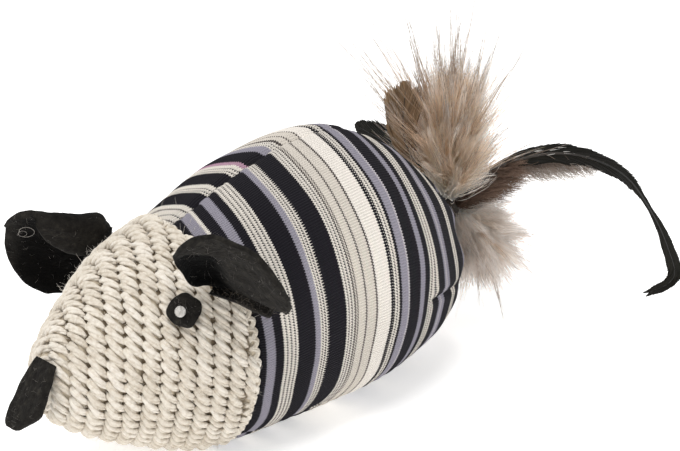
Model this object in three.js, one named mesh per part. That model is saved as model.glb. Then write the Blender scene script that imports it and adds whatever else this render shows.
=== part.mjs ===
// Catnip mouse: a stuffed toy with a crocheted face, a striped jersey body and a tail of fur and feathers.
// Millimetres, +Z up, nose towards -X. The origin is the middle of the flat that the belly rests on.

import * as THREE from 'three';

// Sheet thicknesses and clearances
const KNIT = 3.5;
const JERSEY = 1.5;
const FELT = 2;
const SEAM_GAP = 0.3;
const FIT_GAP = 0.35;
const FELT_GAP = 0.45;

// The tail comes out of a gathered hole in the rump
const TAIL_X = 68;
const TAIL_Z = 36;
const TAIL_BALL_RADIUS = 4.5;
const TAIL_CLEARANCE = 0.5;
const TAIL_HOLE_RADIUS = TAIL_BALL_RADIUS + TAIL_CLEARANCE;

// Cross-sections of the stuffed body from nose to rump: place, half width, top and bottom
const BELLY_CUT = 0.5;
const NOSE_TIP = { x: -68, halfWidth: 3, top: 31.5, bottom: 25.5 };
const MUZZLE = { x: -64, halfWidth: 10, top: 39.5, bottom: 18 };
const SNOUT = { x: -45, halfWidth: 22, top: 55, bottom: 7 };
const NECK = { x: -25, halfWidth: 29.2, top: 62.6, bottom: 0 };
const SHOULDER = { x: 0, halfWidth: 33.8, top: 71.9, bottom: -BELLY_CUT };
const HAUNCH = { x: 27, halfWidth: 34.4, top: 74.6, bottom: 0 };
const HIP = { x: 50, halfWidth: 26.4, top: 62.2, bottom: 6 };
const RUMP = { x: 63, halfWidth: 15.5, top: 48, bottom: 14 };
const TAIL_HOLE = {
  x: TAIL_X,
  halfWidth: TAIL_HOLE_RADIUS,
  top: TAIL_Z + TAIL_HOLE_RADIUS,
  bottom: TAIL_Z - TAIL_HOLE_RADIUS,
};
const STATIONS = [NOSE_TIP, MUZZLE, SNOUT, NECK, SHOULDER, HAUNCH, HIP, RUMP, TAIL_HOLE];
const STEPS_PER_STATION = 4;
const AROUND = 32;

// Jersey cut: two side panels meet along the spine and run down to a base panel
const BASE_SEAM_ANGLE = THREE.MathUtils.degToRad(145);
const SIDE_COLUMNS = 12;
const BASE_COLUMNS = 8;

// Crocheted face: rope-like rows that ring the cone
const FACE_ROWS = 11;
const ROW_BULGE = 0.8;
const STEPS_PER_ROW = 3;

// Catnip sachet between the two wads of stuffing
const SACHET_RADIUS = 16;
const SACHET_BULGE = 7;
const SACHET_SHEET = 0.8;
const SACHET_RIM = 3;
const SACHET_Z = 33;

// Felt ears: round leaves, sewn on by a short straight root
const EAR_LENGTH = 28.5;
const EAR_WIDTH = 31.5;
const EAR_ROOT_WIDTH = 16;
const EAR_CUP_RADIUS = 24;
const EAR_LEFT = { x: -26, angle: -57.5, twist: 43, lean: -6, sweep: 12.5 };
const EAR_RIGHT = { x: -26, angle: 65, twist: 8, lean: 43, sweep: -5 };

// Felt eyes, each held by a white knot
const EYE_LEFT = { x: -40, angle: -54 };
const EYE_RIGHT = { x: -40, angle: 72 };
const EYE_RADIUS = 4.1;
const EYE_THICKNESS = 1.6;
const KNOT_RADIUS = 1.5;
const KNOT_HEIGHT = 1.3;
const EYE_SIDES = 24;
const KNOT_SIDES = 16;

// Felt nose: a tongue that hangs from the top of the muzzle, over the tip of the face
const NOSE_ROOT_X = -66.6;
const NOSE_ROOT_Y = -2;
const NOSE_LENGTH = 18.5;
const NOSE_WIDTH = 13;
const NOSE_ROOT_WIDTH = 7.5;
const NOSE_SLOPE = THREE.MathUtils.degToRad(52);

// Tail: a bound root that carries two fur tufts and three feathers
const TAIL_PITCH = THREE.MathUtils.degToRad(30);
const BINDING_LENGTH = 8;
const BINDING_RADIUS = 3.8;
const BINDING_WAIST = 3.2;
const BINDING_SIDES = 20;
const BINDING_INSIDE = 3;
const ROOT_SPREAD = 2.4;
const UPPER_TUFT = { height: 54, width: 42, depth: 22, lean: [2, -2], slowness: 1.2 };
const LOWER_TUFT = { reach: [17, -17, -21], width: 28, depth: 24, slowness: 1.6 };
const TUFT_ROOT_RADIUS = 1.1;
const FEATHER_HEADING = THREE.MathUtils.degToRad(26);
const FEATHER_REACH = 75;
const FEATHER_RISE = 11.5;
const FEATHER_DROP = 35;
const FEATHER_WIDTH = 13;
const FEATHER_TILT = 0.9;
const DARK_FEATHER = { reach: [-7, 34, 19], bow: [0, 0, 2.5], width: 9 };
const BROWN_FEATHER = { reach: [-14, 7, 33], bow: [-7, 2, -1], width: 12 };
const VANE = 0.8;

const colours = {
  yarn: 0xe6ddcf,
  jersey: 0x3c3a40,
  fill: 0xf2efe8,
  sachet: 0xf4f1ea,
  herb: 0x7c8455,
  felt: 0x171617,
  knot: 0xd9d6d0,
  thread: 0x2a2522,
  fur: 0xa58d78,
  plume: 0x1d1c19,
  brown: 0x6d5a46,
};

function material(colour, roughness) {
  return new THREE.MeshStandardMaterial({ color: colours[colour], roughness, metalness: 0 });
}

function named(name, geometry, colour, roughness = 0.9) {
  const mesh = new THREE.Mesh(geometry, material(colour, roughness));
  mesh.name = name;
  return mesh;
}

// A closed body from points and triangles, turned so that its faces point out
function body(points, triangles) {
  let volume = 0;
  for (const [a, b, c] of triangles) {
    volume += points[a].dot(new THREE.Vector3().crossVectors(points[b], points[c]));
  }
  const outward = volume > 0 ? triangles : triangles.map(([a, b, c]) => [a, c, b]);
  const geometry = new THREE.BufferGeometry();
  geometry.setAttribute('position', new THREE.Float32BufferAttribute(points.flatMap((p) => p.toArray()), 3));
  geometry.setIndex(outward.flat());
  geometry.computeVertexNormals();
  return geometry;
}

// A body lofted through rings of points; the first and last rings are closed by their middle
function loft(rings) {
  const count = rings[0].length;
  const points = rings.flat();
  const triangles = [];
  for (let i = 0; i + 1 < rings.length; i++) {
    for (let j = 0; j < count; j++) {
      const a = i * count + j;
      const b = i * count + (j + 1) % count;
      triangles.push([a, b, a + count], [b, b + count, a + count]);
    }
  }
  const last = (rings.length - 1) * count;
  const start = points.push(middle(rings[0])) - 1;
  const end = points.push(middle(rings.at(-1))) - 1;
  for (let j = 0; j < count; j++) {
    const next = (j + 1) % count;
    triangles.push([start, next, j], [end, last + j, last + next]);
  }
  return body(points, triangles);
}

function middle(ring) {
  const sum = new THREE.Vector3();
  ring.forEach((point) => sum.add(point));
  return sum.divideScalar(ring.length);
}

// A sheet between an outer and an inner grid of points
function sheet(outer, inner, rows, columns) {
  const points = [];
  const triangles = [];
  const at = (side, i, j) => (side * (rows + 1) + i) * (columns + 1) + j;
  for (const side of [outer, inner]) {
    for (let i = 0; i <= rows; i++) {
      for (let j = 0; j <= columns; j++) {
        points.push(side(i, j));
      }
    }
  }
  const quad = (a, b, c, d) => triangles.push([a, b, c], [a, c, d]);
  for (let i = 0; i < rows; i++) {
    for (let j = 0; j < columns; j++) {
      quad(at(0, i, j), at(0, i + 1, j), at(0, i + 1, j + 1), at(0, i, j + 1));
      quad(at(1, i, j), at(1, i, j + 1), at(1, i + 1, j + 1), at(1, i + 1, j));
    }
  }
  for (let i = 0; i < rows; i++) {
    quad(at(0, i, 0), at(1, i, 0), at(1, i + 1, 0), at(0, i + 1, 0));
    quad(at(0, i, columns), at(0, i + 1, columns), at(1, i + 1, columns), at(1, i, columns));
  }
  for (let j = 0; j < columns; j++) {
    quad(at(0, 0, j), at(0, 0, j + 1), at(1, 0, j + 1), at(1, 0, j));
    quad(at(0, rows, j), at(1, rows, j), at(1, rows, j + 1), at(0, rows, j + 1));
  }
  return body(points, triangles);
}

// One outline of the body at station number t, as a smooth curve through the stations
function outline(key, t) {
  const end = STATIONS.length - 1;
  const value = (i) => STATIONS[i][key];
  const slope = (i) => {
    const before = Math.max(i - 1, 0);
    const after = Math.min(i + 1, end);
    return (value(after) - value(before)) / (after - before);
  };
  const i = Math.min(Math.max(Math.floor(t), 0), end - 1);
  const f = t - i;
  const g = 1 - f;
  return value(i) * (1 + 2 * f) * g * g + slope(i) * f * g * g
    + value(i + 1) * (1 + 2 * g) * f * f - slope(i + 1) * g * f * f;
}

function meanRadius(t) {
  return outline('halfWidth', t) / 2 + (outline('top', t) - outline('bottom', t)) / 4;
}

// The direction of the body's side profile at t: how fast its place and its radius change
function profileDirection(t) {
  const step = 0.01;
  const from = Math.max(t - step, 0);
  const to = Math.min(t + step, STATIONS.length - 1);
  const along = outline('x', to) - outline('x', from);
  const outward = meanRadius(to) - meanRadius(from);
  return new THREE.Vector2(along, outward).normalize();
}

// A point of the skin at station t, turned by an angle from the spine, at a depth below the surface
function skin(t, angle, depth) {
  const direction = profileDirection(t);
  const shrink = depth * direction.x;
  const halfWidth = outline('halfWidth', t) - shrink;
  const halfHeight = (outline('top', t) - outline('bottom', t)) / 2 - shrink;
  const height = (outline('top', t) + outline('bottom', t)) / 2 + halfHeight * Math.cos(angle);
  const floor = Math.max(depth, 0);
  return new THREE.Vector3(
    outline('x', t) + depth * direction.y,
    halfWidth * Math.sin(angle),
    Math.max(height, floor),
  );
}

// The station number whose ring at this depth lies in the plane x
function stationAt(x, depth = 0) {
  let low = 0;
  let high = STATIONS.length - 1;
  for (let k = 0; k < 50; k++) {
    const mid = (low + high) / 2;
    if (skin(mid, 0, depth).x < x) low = mid;
    else high = mid;
  }
  return (low + high) / 2;
}

function skinRing(t, depth) {
  return Array.from({ length: AROUND }, (_, j) => skin(t, (2 * Math.PI * j) / AROUND, depth));
}

function spaced(from, to, steps) {
  return Array.from({ length: steps + 1 }, (_, i) => from + ((to - from) * i) / steps);
}

// Station numbers between two places, on steps that every layer of the body shares
function bodySteps(from, to) {
  const shared = spaced(0, STATIONS.length - 1, (STATIONS.length - 1) * STEPS_PER_STATION);
  const margin = 0.25 / STEPS_PER_STATION;
  return [from, ...shared.filter((t) => t > from + margin && t < to - margin), to];
}

function skinRings(from, to, depth) {
  return bodySteps(from, to).map((t) => skinRing(t, depth));
}

// Station numbers that cut the face into steps of equal length along its side
function evenSteps(to, steps) {
  const fineSteps = 400;
  const fine = spaced(0, to, fineSteps);
  const lengths = [0];
  for (let i = 1; i < fine.length; i++) {
    const along = outline('x', fine[i]) - outline('x', fine[i - 1]);
    const outward = meanRadius(fine[i]) - meanRadius(fine[i - 1]);
    lengths.push(lengths[i - 1] + Math.hypot(along, outward));
  }
  return spaced(0, lengths.at(-1), steps).map((wanted) => {
    const i = Math.max(lengths.findIndex((length) => length >= wanted), 1);
    const share = (wanted - lengths[i - 1]) / (lengths[i] - lengths[i - 1]);
    return THREE.MathUtils.lerp(fine[i - 1], fine[i], share);
  });
}

function faceCone() {
  const edge = NECK.x - SEAM_GAP / 2;
  const steps = FACE_ROWS * STEPS_PER_ROW;
  const inner = skinRings(0, stationAt(edge, KNIT), KNIT);
  const outer = evenSteps(stationAt(edge), steps).map((t, i) => {
    const bulge = ROW_BULGE * Math.sin((Math.PI * i) / STEPS_PER_ROW) ** 2;
    return skinRing(t, -bulge);
  });
  return named('face_cone', loft([...inner, ...outer.reverse()]), 'yarn', 0.95);
}

// A jersey panel between two angles, each drawn back from its seam by half the seam's gap
function jerseyPanel(name, fromAngle, toAngle, columns) {
  const steps = bodySteps(stationAt(NECK.x + SEAM_GAP / 2), STATIONS.length - 1);
  const grid = (depth) => (i, j) => {
    const t = steps[i];
    const back = SEAM_GAP / 2 / (outline('halfWidth', t) - JERSEY);
    const angle = fromAngle + back + ((toAngle - fromAngle - 2 * back) * j) / columns;
    return skin(t, angle, depth);
  };
  return named(name, sheet(grid(0), grid(JERSEY), steps.length - 1, columns), 'jersey');
}

function sidePanels() {
  return [
    jerseyPanel('side_panel_left', -BASE_SEAM_ANGLE, 0, SIDE_COLUMNS),
    jerseyPanel('side_panel_right', 0, BASE_SEAM_ANGLE, SIDE_COLUMNS),
    jerseyPanel('base_panel', BASE_SEAM_ANGLE, 2 * Math.PI - BASE_SEAM_ANGLE, BASE_COLUMNS),
  ];
}

function headStuffing() {
  const depth = KNIT + FIT_GAP;
  const end = stationAt(NECK.x - SEAM_GAP / 2, depth);
  return named('head_stuffing', loft(skinRings(0, end, depth)), 'fill', 1);
}

// A ring square to the body's length
function roundRing(x, z, radius) {
  return Array.from({ length: AROUND }, (_, j) => {
    const angle = (2 * Math.PI * j) / AROUND;
    return new THREE.Vector3(x, radius * Math.sin(angle), z + radius * Math.cos(angle));
  });
}

// The wad behind the neck, with a pocket in its front that takes the sachet
function bodyStuffing() {
  const depth = JERSEY + FIT_GAP;
  const front = NECK.x + SEAM_GAP / 2;
  const pocketRadius = SACHET_RADIUS + FIT_GAP;
  const pocketDepth = 2 * SACHET_BULGE + 3 * FIT_GAP;
  const rear = TAIL_X - BINDING_INSIDE - JERSEY - FIT_GAP;
  const rings = skinRings(stationAt(front, depth), stationAt(rear, depth), depth);
  const pocket = [
    roundRing(front + pocketDepth, SACHET_Z, pocketRadius),
    roundRing(front, SACHET_Z, pocketRadius),
  ];
  return named('body_stuffing', loft([...pocket, ...rings]), 'fill', 1);
}

// The height of the sachet's domed face at a distance from its middle, and of its flat rim
function sachetHeight(radius, drop) {
  const dome = SACHET_RADIUS - SACHET_RIM;
  const share = Math.min(radius / dome, 1);
  const rise = SACHET_BULGE - SACHET_SHEET - FIT_GAP / 2;
  return rise * Math.cos((share * Math.PI) / 2) ** 2 + SACHET_SHEET - drop;
}

function sachetProfile(radii, drop) {
  return radii.map((radius) => new THREE.Vector2(radius, sachetHeight(radius, drop)));
}

// Turns a lathe so that its axis runs along the body and its dome faces the given way
function turnedLathe(profile, x, facing) {
  const geometry = new THREE.LatheGeometry(profile, AROUND);
  geometry.rotateZ(-facing * Math.PI / 2);
  geometry.translate(x, 0, SACHET_Z);
  return geometry;
}

function sachet() {
  const dome = SACHET_RADIUS - SACHET_RIM;
  const radii = [...spaced(0, dome, 6), SACHET_RADIUS];
  const x = NECK.x + SEAM_GAP / 2 + FIT_GAP + SACHET_BULGE + FIT_GAP / 2;
  const cover = [...sachetProfile(radii, SACHET_SHEET), ...sachetProfile(radii, 0).reverse()];
  const front = turnedLathe(cover, x - FIT_GAP / 2, -1);
  const back = turnedLathe(cover, x + FIT_GAP / 2, 1);
  const herbRadii = spaced(0, dome - SACHET_RIM, 5);
  const inset = SACHET_SHEET + FIT_GAP;
  const half = sachetProfile(herbRadii, inset);
  const mirrored = half.map((point) => new THREE.Vector2(point.x, -point.y));
  const herb = turnedLathe([...mirrored, ...half.reverse()], x, 1);
  return [
    named('sachet_front', front, 'sachet'),
    named('sachet_back', back, 'sachet'),
    named('catnip_herb', herb, 'herb', 1),
  ];
}

// A seat on the skin: its place, outward normal, and the directions round the body and along it
function seat(x, angle, lift) {
  const t = stationAt(x);
  const step = 0.02;
  const point = skin(t, angle, 0);
  const along = skin(t + step, angle, 0).sub(skin(t - step, angle, 0)).normalize();
  const round = skin(t, angle + step, 0).sub(skin(t, angle - step, 0)).normalize();
  const normal = new THREE.Vector3().crossVectors(along, round).normalize();
  point.addScaledVector(normal, lift);
  return { point, normal, along, round };
}

// Half the width of an ear at a share of its length: a straight root that opens into a round leaf
function earHalfWidth(share) {
  const widest = 0.58;
  const half = EAR_WIDTH / 2;
  if (share > widest) {
    return half * Math.sqrt(1 - ((share - widest) / (1 - widest)) ** 2);
  }
  const opening = Math.sin((share / widest) * Math.PI / 2);
  return THREE.MathUtils.lerp(EAR_ROOT_WIDTH / 2, half, opening);
}

// Point of the ear's middle layer: flat at the root, swept to one side and cupped towards +Z further out
function earPoint(share, across, sweep) {
  const curl = THREE.MathUtils.smoothstep(share, 0, 0.5) / EAR_CUP_RADIUS;
  const flat = across * earHalfWidth(share);
  const turn = flat * curl;
  const x = curl > 0 ? Math.sin(turn) / curl : flat;
  const z = curl > 0 ? (1 - Math.cos(turn)) / curl : 0;
  return new THREE.Vector3(x - share * sweep, share * EAR_LENGTH, z);
}

function earLeaf(sweep) {
  const rows = 10;
  const columns = 10;
  const tip = 0.985;
  const step = 0.005;
  const layer = (offset) => (i, j) => {
    const share = (tip * i) / rows;
    const across = -1 + (2 * j) / columns;
    const point = earPoint(share, across, sweep);
    const along = earPoint(share + step, across, sweep).sub(point);
    const sideways = earPoint(share, across + step, sweep).sub(earPoint(share, across - step, sweep));
    const normal = new THREE.Vector3().crossVectors(sideways, along).normalize();
    return point.addScaledVector(normal, offset);
  };
  return sheet(layer(FELT / 2), layer(-FELT / 2), rows, columns);
}

// An ear stands on its root line, leaning forward, with its hollow to the front
function ear(name, place) {
  const lean = THREE.MathUtils.degToRad(place.lean);
  const twist = THREE.MathUtils.degToRad(place.twist);
  const lift = ROW_BULGE + FELT_GAP + (FELT / 2) * Math.sin(Math.abs(lean));
  const { point, normal, along, round } = seat(place.x, THREE.MathUtils.degToRad(place.angle), lift);
  const down = round.clone().multiplyScalar(Math.sign(place.angle));
  const root = down.multiplyScalar(Math.cos(twist)).addScaledVector(along, Math.sin(twist)).normalize();
  const ahead = new THREE.Vector3().crossVectors(root, normal);
  if (ahead.x > 0) {
    ahead.negate();
    root.negate();
  }
  const out = normal.multiplyScalar(Math.cos(lean)).addScaledVector(ahead, Math.sin(lean));
  const hollow = new THREE.Vector3().crossVectors(root, out);
  const mesh = named(name, earLeaf(place.sweep), 'felt');
  mesh.position.copy(point);
  mesh.quaternion.setFromRotationMatrix(new THREE.Matrix4().makeBasis(root, out, hollow));
  return mesh;
}

// A felt disc with a soft edge and the knot that holds it, both facing out of the skin
function eye(name, place) {
  const { point, normal } = seat(place.x, THREE.MathUtils.degToRad(place.angle), ROW_BULGE + FIT_GAP);
  const edge = EYE_THICKNESS / 4;
  const disc = new THREE.LatheGeometry([
    new THREE.Vector2(0, 0),
    new THREE.Vector2(EYE_RADIUS - edge, 0),
    new THREE.Vector2(EYE_RADIUS, edge),
    new THREE.Vector2(EYE_RADIUS, EYE_THICKNESS - edge),
    new THREE.Vector2(EYE_RADIUS - edge, EYE_THICKNESS),
    new THREE.Vector2(0, EYE_THICKNESS),
  ], EYE_SIDES);
  const dome = spaced(0, Math.PI / 2, 5).map((turn) => {
    return new THREE.Vector2(KNOT_RADIUS * Math.cos(turn), KNOT_HEIGHT * Math.sin(turn));
  });
  dome.at(-1).x = 0;
  const knot = new THREE.LatheGeometry([new THREE.Vector2(0, 0), ...dome], KNOT_SIDES);
  knot.translate(0, EYE_THICKNESS + FIT_GAP, 0);
  const group = new THREE.Group();
  group.position.copy(point);
  group.quaternion.setFromUnitVectors(new THREE.Vector3(0, 1, 0), normal);
  group.add(named(`eye_${name}`, disc, 'felt'), named(`eye_knot_${name}`, knot, 'knot', 0.7));
  return group;
}

// Half the width of the nose at a share of its length: narrow root, wide middle, round end
function noseHalfWidth(share) {
  const widest = 0.66;
  if (share > widest) {
    return (NOSE_WIDTH / 2) * Math.sqrt(1 - ((share - widest) / (1 - widest)) ** 2);
  }
  return THREE.MathUtils.lerp(NOSE_ROOT_WIDTH, NOSE_WIDTH, share / widest) / 2;
}

// The nose hangs from a root across the top of the muzzle
function nose() {
  const rows = 10;
  const columns = 6;
  const tip = 0.98;
  const layer = (offset) => (i, j) => {
    const share = (tip * i) / rows;
    const across = -1 + (2 * j) / columns;
    return new THREE.Vector3(-share * NOSE_LENGTH, across * noseHalfWidth(share), offset);
  };
  const mesh = named('nose_tab', sheet(layer(FELT / 2), layer(-FELT / 2), rows, columns), 'felt');
  const { point } = seat(NOSE_ROOT_X, 0, FELT_GAP + FELT / 2);
  mesh.position.set(point.x, NOSE_ROOT_Y, point.z);
  mesh.rotation.y = -NOSE_SLOPE;
  return mesh;
}

// The bound root: a ball that turns in the hole of the rump, and a neck that carries the plumes
function tailBinding() {
  const inside = Math.sqrt(TAIL_BALL_RADIUS ** 2 - BINDING_INSIDE ** 2);
  const startTurn = Math.asin(BINDING_INSIDE / TAIL_BALL_RADIUS);
  const endTurn = Math.acos(BINDING_WAIST / TAIL_BALL_RADIUS);
  const ball = spaced(-startTurn, endTurn, 8).map((turn) => {
    return new THREE.Vector2(TAIL_BALL_RADIUS * Math.cos(turn), TAIL_BALL_RADIUS * Math.sin(turn));
  });
  ball[0].x = inside;
  const profile = [
    new THREE.Vector2(0, -BINDING_INSIDE),
    ...ball,
    new THREE.Vector2(BINDING_RADIUS, BINDING_LENGTH - BINDING_RADIUS / 2),
    new THREE.Vector2(BINDING_RADIUS, BINDING_LENGTH),
    new THREE.Vector2(0, BINDING_LENGTH),
  ];
  const geometry = new THREE.LatheGeometry(profile, BINDING_SIDES);
  geometry.rotateZ(-Math.PI / 2);
  geometry.rotateY(-TAIL_PITCH);
  return named('tail_binding', geometry, 'thread');
}

// Where a plume starts in front of the bound root's end face, moved sideways and up along the face
function rootPoint(sideways, up) {
  const out = BINDING_LENGTH + FIT_GAP + TUFT_ROOT_RADIUS;
  const point = new THREE.Vector3(out, sideways, up);
  return point.applyAxisAngle(new THREE.Vector3(0, 1, 0), -TAIL_PITCH);
}

// A plume lofted along a curve: half sizes across and through at each step, flat or puffed
function plume(points, width, depth, across, swell, steps = 12, sides = 12) {
  const curve = new THREE.CatmullRomCurve3(points);
  const rings = spaced(0, 1, steps).map((share) => {
    const centre = curve.getPointAt(share);
    const forward = curve.getTangentAt(share);
    const through = new THREE.Vector3().crossVectors(forward, across).normalize();
    const sideways = new THREE.Vector3().crossVectors(through, forward).normalize();
    const size = swell(share);
    const halfWidth = THREE.MathUtils.lerp(TUFT_ROOT_RADIUS, width / 2, size);
    return Array.from({ length: sides }, (_, j) => {
      const turn = (2 * Math.PI * j) / sides;
      return centre.clone()
        .addScaledVector(sideways, halfWidth * Math.cos(turn))
        .addScaledVector(through, (depth(share, size) / 2) * Math.sin(turn));
    });
  });
  return loft(rings);
}

// Fur opens from its root, fast or slowly, is fullest past the middle and thins out to its tips
function puff(slowness) {
  const fullest = 0.6;
  const thinning = 0.42 * Math.PI;
  return (share) => {
    const open = Math.sin(Math.min(share / fullest, 1) * Math.PI / 2) ** slowness;
    const close = share > fullest ? Math.cos(((share - fullest) / (1 - fullest)) * thinning) : 1;
    return open * close;
  };
}

function furTufts() {
  const thick = (full) => (share, size) => 2 * TUFT_ROOT_RADIUS + (full - 2 * TUFT_ROOT_RADIUS) * size;
  const [back, side] = UPPER_TUFT.lean;
  const top = rootPoint(0, ROOT_SPREAD);
  const upper = [
    top,
    top.clone().add(new THREE.Vector3(0, 0, UPPER_TUFT.height * 0.2)),
    top.clone().add(new THREE.Vector3(back * 0.6, side * 0.6, UPPER_TUFT.height * 0.6)),
    top.clone().add(new THREE.Vector3(back, side, UPPER_TUFT.height)),
  ];
  const low = rootPoint(0, -ROOT_SPREAD);
  const reach = new THREE.Vector3(...LOWER_TUFT.reach);
  const lower = [
    low,
    low.clone().addScaledVector(reach, 0.35),
    low.clone().addScaledVector(reach, 0.7),
    low.clone().add(reach),
  ];
  const sideways = new THREE.Vector3(0, 1, 0);
  const fur = (name, tuft, route) => {
    const geometry = plume(route, tuft.width, thick(tuft.depth), sideways, puff(tuft.slowness));
    return named(name, geometry, 'fur', 1);
  };
  return [fur('fur_tuft_upper', UPPER_TUFT, upper), fur('fur_tuft_lower', LOWER_TUFT, lower)];
}

function vane(share) {
  return VANE + TUFT_ROOT_RADIUS * (1 - share) ** 4;
}

// The long feather rises from the root, arches over and droops to a slim curled tip
function tailFeather() {
  const root = rootPoint(0, 0);
  const route = [
    [0, 0],
    [0.14, 0.2],
    [0.3, 0.68],
    [0.46, 1],
    [0.62, 0.75],
    [0.77, 0.1],
    [0.9, -0.35],
    [0.98, -0.7],
    [1, -0.92],
    [0.95, -1],
  ];
  const points = route.map(([ahead, up]) => {
    const height = up > 0 ? up * FEATHER_RISE : up * FEATHER_DROP;
    const reach = ahead * FEATHER_REACH;
    return root.clone().add(new THREE.Vector3(
      reach * Math.cos(FEATHER_HEADING),
      -reach * Math.sin(FEATHER_HEADING),
      height,
    ));
  });
  const bladeEnd = 0.7;
  const bladeShare = 0.8;
  const slimShare = 0.12;
  const blade = (share) => {
    const wide = Math.sin(Math.PI * Math.min(share / bladeEnd, 1));
    return bladeShare * wide + slimShare * Math.sin(Math.PI * share);
  };
  const across = new THREE.Vector3(Math.sin(FEATHER_HEADING), Math.cos(FEATHER_HEADING), FEATHER_TILT);
  return named('tail_feather', plume(points, FEATHER_WIDTH, vane, across, blade, 28, 8), 'plume', 0.5);
}

// A short feather from the root to its reach, with a round or a blunt end
function shortFeather(name, feather, sideways, up, across, blade, colour) {
  const root = rootPoint(sideways, up);
  const reach = new THREE.Vector3(...feather.reach);
  const bow = new THREE.Vector3(...feather.bow);
  const points = [root, root.clone().addScaledVector(reach, 0.5).add(bow), root.clone().add(reach)];
  return named(name, plume(points, feather.width, vane, across, blade, 10, 8), colour, 0.6);
}

function shortFeathers() {
  const round = (share) => Math.sin(Math.PI * share) ** 0.8;
  const blunt = (share) => Math.min(share / 0.75, 1) ** 1.2;
  const edge = ROOT_SPREAD * 1.1;
  const upright = new THREE.Vector3(0, 0, 1);
  const level = new THREE.Vector3(0, 1, 0);
  return [
    shortFeather('dark_feather', DARK_FEATHER, edge, -edge / 3, upright, round, 'plume'),
    shortFeather('brown_feather', BROWN_FEATHER, edge, edge * 0.75, level, blunt, 'brown'),
  ];
}

function tail() {
  const group = new THREE.Group();
  group.position.set(TAIL_X, 0, TAIL_Z);
  group.add(tailBinding(), ...furTufts(), tailFeather(), ...shortFeathers());
  return group;
}

const mouse = new THREE.Group();
mouse.add(faceCone(), ...sidePanels(), headStuffing(), bodyStuffing(), ...sachet());
mouse.add(ear('ear_left', EAR_LEFT), ear('ear_right', EAR_RIGHT));
mouse.add(eye('left', EYE_LEFT), eye('right', EYE_RIGHT), nose(), tail());

export default mouse;
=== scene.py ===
# Catnip mouse: crocheted face, striped jersey body, felt ears, nose and eyes, tail of fur and feathers.
# Sizes are in millimetres, +Z up, nose towards -X. A piece is scaled to metres when it is made.

import math

import bpy
import numpy as np
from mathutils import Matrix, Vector


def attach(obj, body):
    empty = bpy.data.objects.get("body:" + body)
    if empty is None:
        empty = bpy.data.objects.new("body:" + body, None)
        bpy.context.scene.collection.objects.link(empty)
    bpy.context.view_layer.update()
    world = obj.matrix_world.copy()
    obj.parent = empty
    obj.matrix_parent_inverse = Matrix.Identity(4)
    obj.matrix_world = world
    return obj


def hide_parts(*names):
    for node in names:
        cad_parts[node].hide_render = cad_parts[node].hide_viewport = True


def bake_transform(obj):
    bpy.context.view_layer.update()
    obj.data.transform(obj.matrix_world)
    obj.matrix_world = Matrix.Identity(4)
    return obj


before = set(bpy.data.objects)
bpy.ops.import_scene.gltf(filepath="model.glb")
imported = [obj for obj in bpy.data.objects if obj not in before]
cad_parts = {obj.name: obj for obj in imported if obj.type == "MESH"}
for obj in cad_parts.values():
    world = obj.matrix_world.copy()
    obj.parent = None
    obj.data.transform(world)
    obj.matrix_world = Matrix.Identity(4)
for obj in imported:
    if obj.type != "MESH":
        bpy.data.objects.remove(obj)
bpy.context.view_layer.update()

MM = 0.001

# The photograph's view
VIEW_AZIMUTH = -43.29
VIEW_ELEVATION = 20.46
VIEW_TARGET = (30.25, 0, 45.37)
VIEW_DISTANCE = 444.3
LENS = 85
SENSOR = 36

# Cross-sections of the stuffed body from nose to rump: place, half width, top and bottom
STATIONS = np.array([
    (-68, 3, 31.5, 25.5),
    (-64, 10, 39.5, 18),
    (-45, 22, 55, 7),
    (-25, 29.2, 62.6, 0),
    (0, 33.8, 71.9, -0.5),
    (27, 34.4, 74.6, 0),
    (50, 26.4, 62.2, 6),
    (63, 15.5, 48, 14),
    (68, 5, 41, 31),
], float)
LAST_STATION = len(STATIONS) - 1
NECK_X = -25
NECK_PEAK = 4.3
NECK_PEAK_ANGLE = -8
NECK_PEAK_WIDTH = 30
KNIT = 3.5
JERSEY = 1.5
FELT = 2

# Jersey: wales run along the body, courses round it
BASE_SEAM = math.radians(145)
WALE = 0.75
COURSE = 0.55
RIB = 0.06
DASH = 0.8
PANEL_ROWS = 90
COLUMNS_PER_WALE = 4
BODY_RADIUS = 36
SEAM_DEPTH = 1.1
SEAM_WIDTH = 1.5
PUCKER_DEPTH = 0.22
PUCKER_LENGTH = 4.6
TUCK_ANGLE = -98
TUCK_DEPTH = 0.8
GATHER_DEPTH = 0.9
GATHERS = 13

# Crochet: rope-like rows of slanted stitches, on planes that lean back towards the far side
ROW_PITCH = 4.87
FIRST_ROW = -66.5
ROW_COUNT = 13
ROW_YAW = 0.52
ROW_PITCH_LEAN = 0.08
ROW_MIDDLE = 28
FAR_TURN = 9
STITCH_SPACING = 2.85
STITCH_RADIUS = 0.93
STITCH_STEPS = 16
LEAST_SLOPE = 0.62
PLIES = 3
PLY_TURN = 11
PLY_SHARE = 0.62
RING_TURNS = 3.4
EDGE_LOOPS = 72
EDGE_RADIUS = 0.62
FUZZ_COUNT = 2600

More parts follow.
